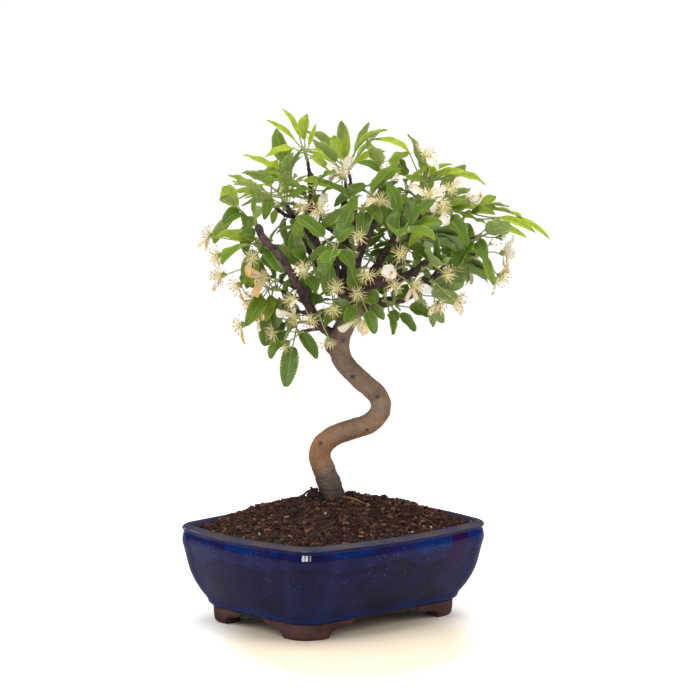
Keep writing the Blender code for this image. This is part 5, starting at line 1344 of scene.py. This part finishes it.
def leaf_veins():
    """Shader group: where a leaf's midrib and side veins run, and their relief, from its own values."""
    tree = bpy.data.node_groups.new("leaf_veins", "ShaderNodeTree")
    for label, start in (("Count", 9.0), ("Slant", 2.3), ("Width", 0.16)):
        tree.interface.new_socket(label, in_out="INPUT", socket_type="NodeSocketFloat").default_value = start
    for label in ("Midrib", "Veins", "Height"):
        tree.interface.new_socket(label, in_out="OUTPUT", socket_type="NodeSocketFloat")
    inner = Nodes(tree)
    taken = inner.tree.nodes.new("NodeGroupInput").outputs
    given = inner.tree.nodes.new("NodeGroupOutput").inputs
    across = inner.maths("ABSOLUTE", inner.value_of("across"))
    along = inner.value_of("along")
    bent = inner.maths("MULTIPLY", inner.maths("POWER", across, 0.85), taken["Slant"])
    counted = inner.maths("MULTIPLY", along, taken["Count"])
    phase = inner.maths("FRACT", inner.maths("SUBTRACT", counted, bent))
    away = inner.maths("MULTIPLY", inner.maths("ABSOLUTE", inner.maths("SUBTRACT", phase, 0.5)), 2.0)
    veins = inner.ramp(away, taken["Width"], 0.0)
    veins = inner.maths("MULTIPLY", veins, inner.ramp(across, 1.0, 0.75))
    midrib = inner.ramp(across, 0.085, 0.02)
    inner.join(midrib, given["Midrib"])
    inner.join(veins, given["Veins"])
    pillow = inner.maths("MULTIPLY", inner.maths("SINE", inner.maths("MULTIPLY", away, math.pi / 2)), 0.22)
    inner.join(inner.maths("SUBTRACT", pillow, inner.maths("MULTIPLY", midrib, 0.5)), given["Height"])
    return tree


veins_of_leaf = leaf_veins()


def leaf_finish(name, old, young, dry, vein, roughness, relief_sign):
    """One side of a leaf: its green runs from the old one to the young one, with paler veins."""
    material, nodes, shader = new_finish(name, roughness=roughness, subsurface_weight=0.22,
                                         subsurface_scale=0.0012)
    shader.inputs["Subsurface Radius"].default_value = (0.8, 1.0, 0.3)
    veins = nodes.group(veins_of_leaf, {"Count": 9.0, "Slant": 2.3, "Width": 0.20}).outputs
    spot = stretched(nodes)
    tint = nodes.value_of("tint")
    age = nodes.maths("ADD", nodes.value_of("youth"), nodes.maths("MULTIPLY_ADD", tint, 0.36, -0.18))
    green = nodes.blend(nodes.ramp(age, 0.05, 0.95), old, young)
    shade = tuple(part * 0.72 for part in old)
    green = nodes.over(green, blotch(nodes, spot, 240.0, 0.35, 0.65), 0.30, shade)
    edge = nodes.ramp(nodes.maths("ABSOLUTE", nodes.value_of("across")), 0.78, 1.05)
    green = nodes.over(green, edge, 0.12, young)
    dried = nodes.maths("MULTIPLY", edge, blotch(nodes, spot, 130.0, 0.60, 0.70))
    green = nodes.over(green, dried, 0.65, dry)
    green = nodes.over(green, veins["Veins"], 0.10, vein)
    green = nodes.over(green, veins["Midrib"], 0.38, vein)
    nodes.join(green, shader.inputs["Base Color"])
    nodes.join(nodes.ramp(blotch(nodes, spot, 500.0, 0.3, 0.7), 0.0, 1.0, roughness - 0.06, roughness + 0.08),
               shader.inputs["Roughness"])
    height = nodes.maths("ADD", nodes.maths("MULTIPLY", veins["Height"], relief_sign),
                         nodes.maths("MULTIPLY", nodes.grain(spot, 1500.0), 0.22))
    bumped(nodes, shader, height, 0.00045, 0.8)
    return material


def green_stalk():
    material, nodes, shader = new_finish("green_stalk", roughness=0.5, subsurface_weight=0.15,
                                         subsurface_scale=0.0012)
    spot = stretched(nodes)
    body = nodes.over(nodes.blend(blotch(nodes, spot, 120.0, 0.35, 0.65), *STALK_GREEN),
                      blotch(nodes, spot, 90.0, 0.60, 0.75), 0.5, STALK_BLUSH)
    nodes.join(body, shader.inputs["Base Color"])
    bumped(nodes, shader, nodes.grain(spot, 1600.0), 0.0003, 0.6)
    return material


upper_leaf = leaf_finish("leaf_upper", (0.088, 0.158, 0.013), (0.345, 0.425, 0.020), (0.36, 0.25, 0.06),
                         (0.38, 0.46, 0.12), 0.42, 1.0)
under_leaf = leaf_finish("leaf_under", (0.220, 0.300, 0.085), (0.380, 0.450, 0.095), (0.36, 0.27, 0.10),
                         (0.44, 0.50, 0.22), 0.62, -1.0)
leaf_finishes = [upper_leaf, under_leaf, green_stalk()]
for number, (node, (path, leaves)) in enumerate(shoots.items()):
    rng = random.Random(500 + number)
    sheaf = Sheaf()
    fine_path = smooth_route(path, 4)
    widths = list(np.interp(np.linspace(0, 3, len(fine_path)), range(4), SHOOT_RADII))
    sheaf.add_tube(fine_path, widths, 10, 2, rng.random(), 0.5, rounded=0.0010)
    for leaf in map(held_up, leaves):
        add_leaf(sheaf, leaf, youth_of(leaf), rng)
    for leaf in fill_leaves(fine_path, 3, rng):
        add_leaf(sheaf, leaf, youth_of(leaf), rng)
    spray = sheaf.as_piece(node.replace("leafy_shoot", "leaf_spray"), leaf_finishes)
    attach(spray, "root")
    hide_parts(node)

# The inner leaves: short green shoots, each with a rosette of small leaves, on the far and upper sides of the
# limbs. They grow straight from the wood inside the crown, and have the same leaves as the long shoots.
ROSETTES, ROSETTES_A_PIECE = 44, 8
ROSETTE_LEAVES, PERCHES_ABOVE = 5, 0.232


def rosette(rng):
    """A short green shoot and the leaves that it has room for."""
    perches = [(centre, radius) for centre, radius, limb, _ in wood_samples
               if 0 < limb <= len(LIMBS) and centre.z > PERCHES_ABOVE]
    centre, radius = perches[rng.randrange(len(perches))]
    out = (centre - CROWN_HEART).normalized() * 0.8 + Vector((rng.uniform(-0.6, 0.6), rng.uniform(0.2, 1.2),
                                                              rng.uniform(-0.2, 0.8)))
    out.normalize()
    path = smooth_route([centre, centre + out * (radius + 0.004),
                         centre + out * (radius + rng.uniform(0.007, 0.012))], 4)
    return path, fill_leaves(path, ROSETTE_LEAVES, rng)


rng = random.Random(77)
rosettes = [item for item in (rosette(rng) for _ in range(ROSETTES)) if len(item[1]) > 1]
for number in range(0, len(rosettes), ROSETTES_A_PIECE):
    sheaf = Sheaf()
    for path, leaves in rosettes[number:number + ROSETTES_A_PIECE]:
        widths = list(np.linspace(0.0012, 0.0009, len(path)))
        sheaf.add_tube(path, widths, 8, 2, rng.random(), 0.5, rounded=0.0008)
        for leaf in leaves:
            add_leaf(sheaf, leaf, youth_of(leaf), rng)
    inner = sheaf.as_piece(f"inner_leaves_{number // ROSETTES_A_PIECE + 1:02d}", leaf_finishes)
    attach(inner, "root")

# The flower clusters: spent blooms on thin stalks. Each keeps a green cup with five sepals, a burst of cream
# stamens with rusty tips, and here and there crumpled white petals with orange withered edges, or is a bud.
FILAMENTS, STYLES = 35, 4
EARLY_BLOOMS = -0.045
BALL_RADIUS, BALL_STEP = 0.0047, 0.00028
# Profiles turned round a bloom's axis: (distance along it, radius)
BUD_CUP_PROFILE = [(-0.0042, 0.0004), (-0.0036, 0.0011), (-0.0024, 0.0014), (-0.0012, 0.0012)]
BUD_PROFILE = [(-0.0022, 0.0009), (-0.0014, 0.0018), (-0.0002, 0.0024), (0.0012, 0.0024), (0.0024, 0.0018),
               (0.0033, 0.0010), (0.0038, 0.0003)]
CUP_PROFILE = [(-0.0038, 0.0005), (-0.0034, 0.0012), (-0.0024, 0.0019), (-0.0012, 0.0020),
               (-0.0003, 0.0015), (0.0004, 0.0017), (0.0008, 0.0014), (0.0007, 0.0005)]
DISC_PROFILE = [(0.0003, 0.0017), (0.0011, 0.0014), (0.0017, 0.0008), (0.0019, 0.0002)]
STALK_RADII = (0.00066, 0.00046, 0.00050, 0.00074)
FILAMENT_RADII = (0.00027, 0.00024, 0.00021, 0.00018, 0.00015)
BLOOM_GREEN, BLOOM_PALE = ((0.23, 0.30, 0.075), (0.38, 0.42, 0.14)), (0.44, 0.46, 0.20)
FILAMENT, FILAMENT_GREEN = ((0.76, 0.66, 0.30), (0.92, 0.86, 0.56)), (0.62, 0.62, 0.25)
ANTHER, ANTHER_POLLEN = ((0.17, 0.065, 0.022), (0.60, 0.28, 0.060)), (0.74, 0.50, 0.20)
PETAL = (0.80, 0.73, 0.57), (0.87, 0.84, 0.77)
PETAL_FOOT, PETAL_VEIN = (0.70, 0.66, 0.34), (0.78, 0.66, 0.46)
DYING_EDGE, WITHERED, BROWNED = (0.84, 0.44, 0.08), (0.86, 0.50, 0.10), (0.46, 0.18, 0.045)


def lathe(profile, foot, axis, sides, start, ribs=0.0):
    """Points and faces turned round an axis: profile holds (distance along the axis, radius)."""
    rings = [[foot + axis * along + outward(axis, angle) * radius * (1 + ribs * math.cos(5 * angle))
              for angle in (step / sides * math.tau for step in range(sides))] for along, radius in profile]
    return [point for ring in rings for point in ring], bridge(rings, start)


def add_petal(sheaf, petal, bloom, rng):
    """A crumpled petal spread over the CAD petal's own sections, thin and closed."""
    knots = [petal["root"]] + [section[0].lerp((section[1] + section[2]) / 2, 0.5)
                               for section in petal["sections"]] + [petal["tip"]]
    fit = np.polyfit([0.0, 0.18, 0.55, 0.86, 1.0], np.array([tuple(knot) for knot in knots]), 3)
    widest = max((section[1] - section[2]).length / 2 for section in petal["sections"])
    side = across_of(petal["sections"])
    up = (petal["tip"] - petal["root"]).normalized().cross(side).normalized()
    if up.dot(bloom["axis"]) < 0:
        up, side = -up, -side
    shift = rng.uniform(0, 50)

    def place(share, across, sign):
        middle = Vector(np.array([share ** 3, share ** 2, share, 1.0]) @ fit)
        spread = 0.16 + 0.84 * max(0.0, math.sin(math.pi * min(1.0, share * 0.93 + 0.02) ** 1.35)) ** 0.7
        spread *= 1.0 if share < 0.93 else 0.92
        crumple = 0.0024 * noise.noise(Vector((across * 2.2 + shift, share * 3.4, 0.0))) * share
        cup = (0.30 + 0.45 * math.sin(shift)) * widest * spread * across * across
        wide = widest * spread * across * (1 + 0.08 * math.sin(share * 9 + shift)) * 0.97
        return middle + side * wide + up * (cup + crumple + sign * 0.00011 * (1 - abs(across) ** 4))

    closed_sheet(sheaf, place, 11, 15, 3, rng.random(), withering(bloom, rng))


def withering(bloom, rng):
    """How far a petal has died: the blooms at the left end of the crown opened first."""
    return max(rng.random(), 0.97 * float(bloom["centre"].x < EARLY_BLOOMS and rng.random() < 0.6))


def add_spare_petal(sheaf, bloom, rng):
    """A spoon-shaped petal that has dropped open and hangs from the cup by its narrow foot."""
    axis, centre = bloom["axis"], bloom["centre"]
    out = outward(axis, rng.uniform(0, math.tau))
    side = axis.cross(out).normalized()
    length, half = rng.uniform(0.0090, 0.0118), rng.uniform(0.0028, 0.0038)
    droop, shift = rng.uniform(0.3, 0.9), rng.uniform(0, 50)

    def place(share, across, sign):
        middle = centre + out * (0.0014 + length * share * (1 - 0.3 * share * droop))
        middle += (axis * length * 0.3 * share * (1 - share)
                   - Vector((0, 0, 0.75 * length * droop * share * share)))
        spread = half * (0.14 + 0.86 * math.sin(math.pi * (0.03 + 0.89 * share ** 1.5)))
        crumple = 0.0016 * share * noise.noise(Vector((across * 2.0 + shift, share * 3.0, 0.0)))
        raised = 0.45 * spread * across * across + crumple + sign * 0.0001
        return middle + side * spread * across + axis * raised

    closed_sheet(sheaf, place, 9, 13, 3, rng.random(), withering(bloom, rng))


def closed_sheet(sheaf, place, columns, stations, finish, tint, youth):
    """A thin closed sheet with two sides: place(along, across, side) gives each of its points."""
    points, across_values, along_values = [], [], []
    for station in range(stations):
        along = 0.02 + 0.96 * station / (stations - 1)
        for side in (1.0, -1.0):
            for column in range(columns):
                if side > 0 or 0 < column < columns - 1:
                    across = 2 * column / (columns - 1) - 1
                    points.append(place(along, across, side))
                    across_values.append(across)
                    along_values.append(along)
    faces = sheet_faces(len(sheaf.points), columns, stations)
    sheaf.add(points, faces, finish, across_values, along_values, tint, youth)


def add_folded_petals(sheaf, bloom, rng):
    """Five spoon-shaped petals that have folded back over one another into a loose ball."""
    axis = bloom["axis"]
    heart = bloom["centre"] + axis * 0.0040
    for number in range(5):
        out = outward(axis, number * math.tau * 2 / 5 + 0.3)
        side = axis.cross(out)
        size = BALL_RADIUS + BALL_STEP * number
        shift = rng.uniform(0, 50)

        def place(share, across, sign):
            polar = math.radians(180 - 178 * share)
            half = 0.95 * math.sin(math.pi * (0.10 + 0.78 * share)) ** 0.55
            half *= 0.35 + 0.65 * math.sin(polar)
            way = (axis * math.cos(polar) + out * math.sin(polar) + side * half * across).normalized()
            ripple = 0.0007 * noise.noise(Vector((across * 2.5 + shift, share * 3.0, 0.0)))
            return heart + way * (size + ripple + sign * 0.0001)

        closed_sheet(sheaf, place, 9, 12, 3, rng.random(), 0.75)


def add_sepals(sheaf, bloom, spin, tint, rng):
    """Five pointed sepals: bent back under an open bloom, closed round a bud."""
    axis, centre, is_bud = bloom["axis"], bloom["centre"], bloom["bud"]
    for number in range(5):
        out = outward(axis, spin + number / 5 * math.tau)
        side = axis.cross(out).normalized()
        drop = -1.1 if is_bud else rng.uniform(0.9, 1.7)
        base = centre + out * 0.0014 - axis * (0.0018 if is_bud else 0.0002)
        tip = base + (out - axis * drop).normalized() * rng.uniform(0.0030, 0.0042)
        middle = base.lerp(tip, 0.5) + (out * 0.2 + axis * 0.5) * 0.0011
        points = [base - side * 0.0009, base + side * 0.0009, middle - side * 0.00085,
                  middle + side * 0.00085, tip, base - axis * 0.0003, middle - axis * 0.00022 - out * 0.0001]
        faces = [(0, 1, 3, 2), (2, 3, 4), (1, 0, 5), (0, 2, 6, 5), (3, 1, 5, 6), (2, 4, 6), (4, 3, 6)]
        start = len(sheaf.points)
        sheaf.add(points, [tuple(start + index for index in face) for face in faces], 0, tint=tint, youth=0.8)


def add_stamens(sheaf, bloom, spin, tint, rng):
    """A burst of thin filaments, most of them with an anther at the end, round a few green styles."""
    axis, centre = bloom["axis"], bloom["centre"]
    count = FILAMENTS + rng.randint(-3, 3)
    for number in range(count + STYLES):
        is_style = number >= count
        tilt = 0.25
        if not is_style:
            tilt = math.acos(max(-0.25, 1 - 1.15 * (number + 0.5) / count)) * rng.uniform(0.88, 1.10)
        out = outward(axis, number * GOLDEN_TURN + spin)
        way = (axis * math.cos(tilt) + out * math.sin(tilt)).normalized()
        reach = rng.uniform(0.0052, 0.0075) * (0.95 if is_style else 1.0)
        begin = centre + out * 0.0010 + axis * 0.0004
        bend = Vector([rng.uniform(-1, 1) for _ in range(3)]) * 0.0009
        end = begin + way * reach
        path = smooth_route([begin, begin.lerp(end, 0.5) + bend, end], 2)
        sheaf.add_tube(path, FILAMENT_RADII, 4, 0 if is_style else 1, tint, rng.random())
        if not is_style and rng.random() < 0.82:
            size = rng.uniform(0.00032, 0.00050)
            anther = [(-size, size * 0.3), (-size * 0.5, size), (size * 0.4, size * 0.9),
                      (size * 1.1, size * 0.3)]
            sheaf.add_turned(anther, end, way, 6, 2, rng.random(), rng.random())


def add_bloom(sheaf, bloom, rng):
    """One spent flower or bud: stalk, cup, sepals, stamens, styles and the petals that are left."""
    axis, centre = bloom["axis"], bloom["centre"]
    tint = rng.random()
    path = smooth_route([bloom["root"], bloom["knee"], bloom["foot"], centre - axis * 0.0016], 5)
    radii = list(np.interp(range(len(path)), (0, 4, 10, len(path) - 1), STALK_RADII))
    sheaf.add_tube(path, radii, 6, 0, tint, 0.6)
    if bloom["bud"]:
        sheaf.add_turned(BUD_CUP_PROFILE, centre, axis, 12, 0, tint, 0.6)
        made, skin = lathe(BUD_PROFILE, centre, axis, 20, len(sheaf.points), 0.06)
        sheaf.add(made, skin, 3, 0.2, 0.5, tint, 0.3)
    else:
        sheaf.add_turned(CUP_PROFILE, centre, axis, 14, 0, tint, 0.7)
        sheaf.add_turned(DISC_PROFILE, centre, axis, 12, 1, tint, 0.1, ribs=0.12)
    spin = rng.uniform(0, math.tau)
    add_sepals(sheaf, bloom, spin, tint, rng)
    if not bloom["bud"]:
        add_stamens(sheaf, bloom, spin, tint, rng)
    if len(bloom["petals"]) > 4:
        add_folded_petals(sheaf, bloom, rng)
    else:
        for petal in bloom["petals"]:
            add_petal(sheaf, petal, bloom, rng)
        if not bloom["bud"] and (bloom["petals"] or centre.x < EARLY_BLOOMS):
            for _ in range(rng.choice((1, 1, 2))):
                add_spare_petal(sheaf, bloom, rng)


def bloom_green():
    material, nodes, shader = new_finish("bloom_green", roughness=0.55, subsurface_weight=0.15,
                                         subsurface_scale=0.0012)
    spot = stretched(nodes)
    body = nodes.blend(nodes.value_of("tint"), *BLOOM_GREEN)
    body = nodes.over(body, blotch(nodes, spot, 260.0, 0.45, 0.65), 0.5, BLOOM_PALE)
    nodes.join(body, shader.inputs["Base Color"])
    bumped(nodes, shader, nodes.grain(spot, 1400.0), 0.0003, 0.7)
    return material


def filament_cream():
    material, nodes, shader = new_finish("filament_cream", roughness=0.55)
    body = nodes.blend(nodes.value_of("youth"), *FILAMENT)
    body = nodes.over(body, blotch(nodes, stretched(nodes), 300.0, 0.55, 0.70), 0.6, FILAMENT_GREEN)
    nodes.join(body, shader.inputs["Base Color"])
    return material


def anther_rust():
    material, nodes, shader = new_finish("anther_rust", roughness=0.8)
    body = nodes.blend(nodes.value_of("tint"), *ANTHER)
    body = nodes.over(body, blotch(nodes, stretched(nodes), 900.0, 0.45, 0.65), 0.5, ANTHER_POLLEN)
    nodes.join(body, shader.inputs["Base Color"])
    return material


def petal_white():
    """White to cream petal, browned to orange along its dying edge and thinly veined."""
    material, nodes, shader = new_finish("petal_white", roughness=0.55, subsurface_weight=0.2,
                                         subsurface_scale=0.0012)
    spot = stretched(nodes)
    across, along, youth = (nodes.value_of(label) for label in ("across", "along", "youth"))
    body = nodes.blend(nodes.value_of("tint"), *PETAL)
    body = nodes.blend(nodes.ramp(along, 0.35, 0.0, 0.0, 0.5), body, PETAL_FOOT)
    drawn_out = nodes.add("CombineXYZ", {0: nodes.maths("MULTIPLY", across, 9.0), 1: along}).outputs[0]
    streak = nodes.grain(drawn_out, 2.0)
    body = nodes.blend(nodes.ramp(streak, 0.52, 0.72, 0.0, 0.35), body, PETAL_VEIN)
    dying = nodes.maths("MAXIMUM", nodes.ramp(nodes.maths("ABSOLUTE", across), 0.60, 1.0),
                        nodes.ramp(along, 0.72, 1.0))
    dying = nodes.maths("MULTIPLY", dying, blotch(nodes, spot, 210.0, 0.34, 0.62))
    dying = nodes.maths("MULTIPLY", dying, nodes.ramp(youth, 0.15, 0.75))
    body = nodes.blend(dying, body, DYING_EDGE)
    toward_tip = nodes.maths("MULTIPLY", nodes.ramp(along, 0.15, 0.70),
                             blotch(nodes, spot, 190.0, 0.30, 0.60))
    body = nodes.blend(nodes.maths("MULTIPLY", nodes.ramp(youth, 0.80, 0.96), toward_tip), body, WITHERED)
    body = nodes.blend(nodes.ramp(dying, 0.7, 1.0, 0.0, 0.35), body, BROWNED)
    nodes.join(body, shader.inputs["Base Color"])
    bumped(nodes, shader, streak, 0.0006, 0.6)
    return material


bloom_finishes = [bloom_green(), filament_cream(), anther_rust(), petal_white()]
for number, (node, (path, blooms)) in enumerate(clusters.items()):
    rng = random.Random(900 + number)
    sheaf = Sheaf()
    fine_path = smooth_route([path[0], path[0].lerp(path[1], 0.5), path[1]], 4)
    widths = list(np.linspace(0.0014, 0.00085, len(fine_path)))
    sheaf.add_tube(fine_path, widths, 10, 0, 0.2, 0.5, rounded=0.0008)
    for bloom in blooms:
        add_bloom(sheaf, bloom, rng)
    tuft = sheaf.as_piece(node.replace("flower_cluster", "bloom_tuft"), bloom_finishes)
    # Two small leaves at the cluster's foot, where there is room for them
    collar_sheaf = Sheaf()
    for leaf in fill_leaves(fine_path, 2, rng):
        add_leaf(collar_sheaf, leaf, youth_of(leaf), rng)
    if collar_sheaf.points:
        collar = collar_sheaf.as_piece(node.replace("flower_cluster", "leaf_collar"), leaf_finishes)
        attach(collar, "root")
    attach(tuft, "root")
    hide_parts(node)
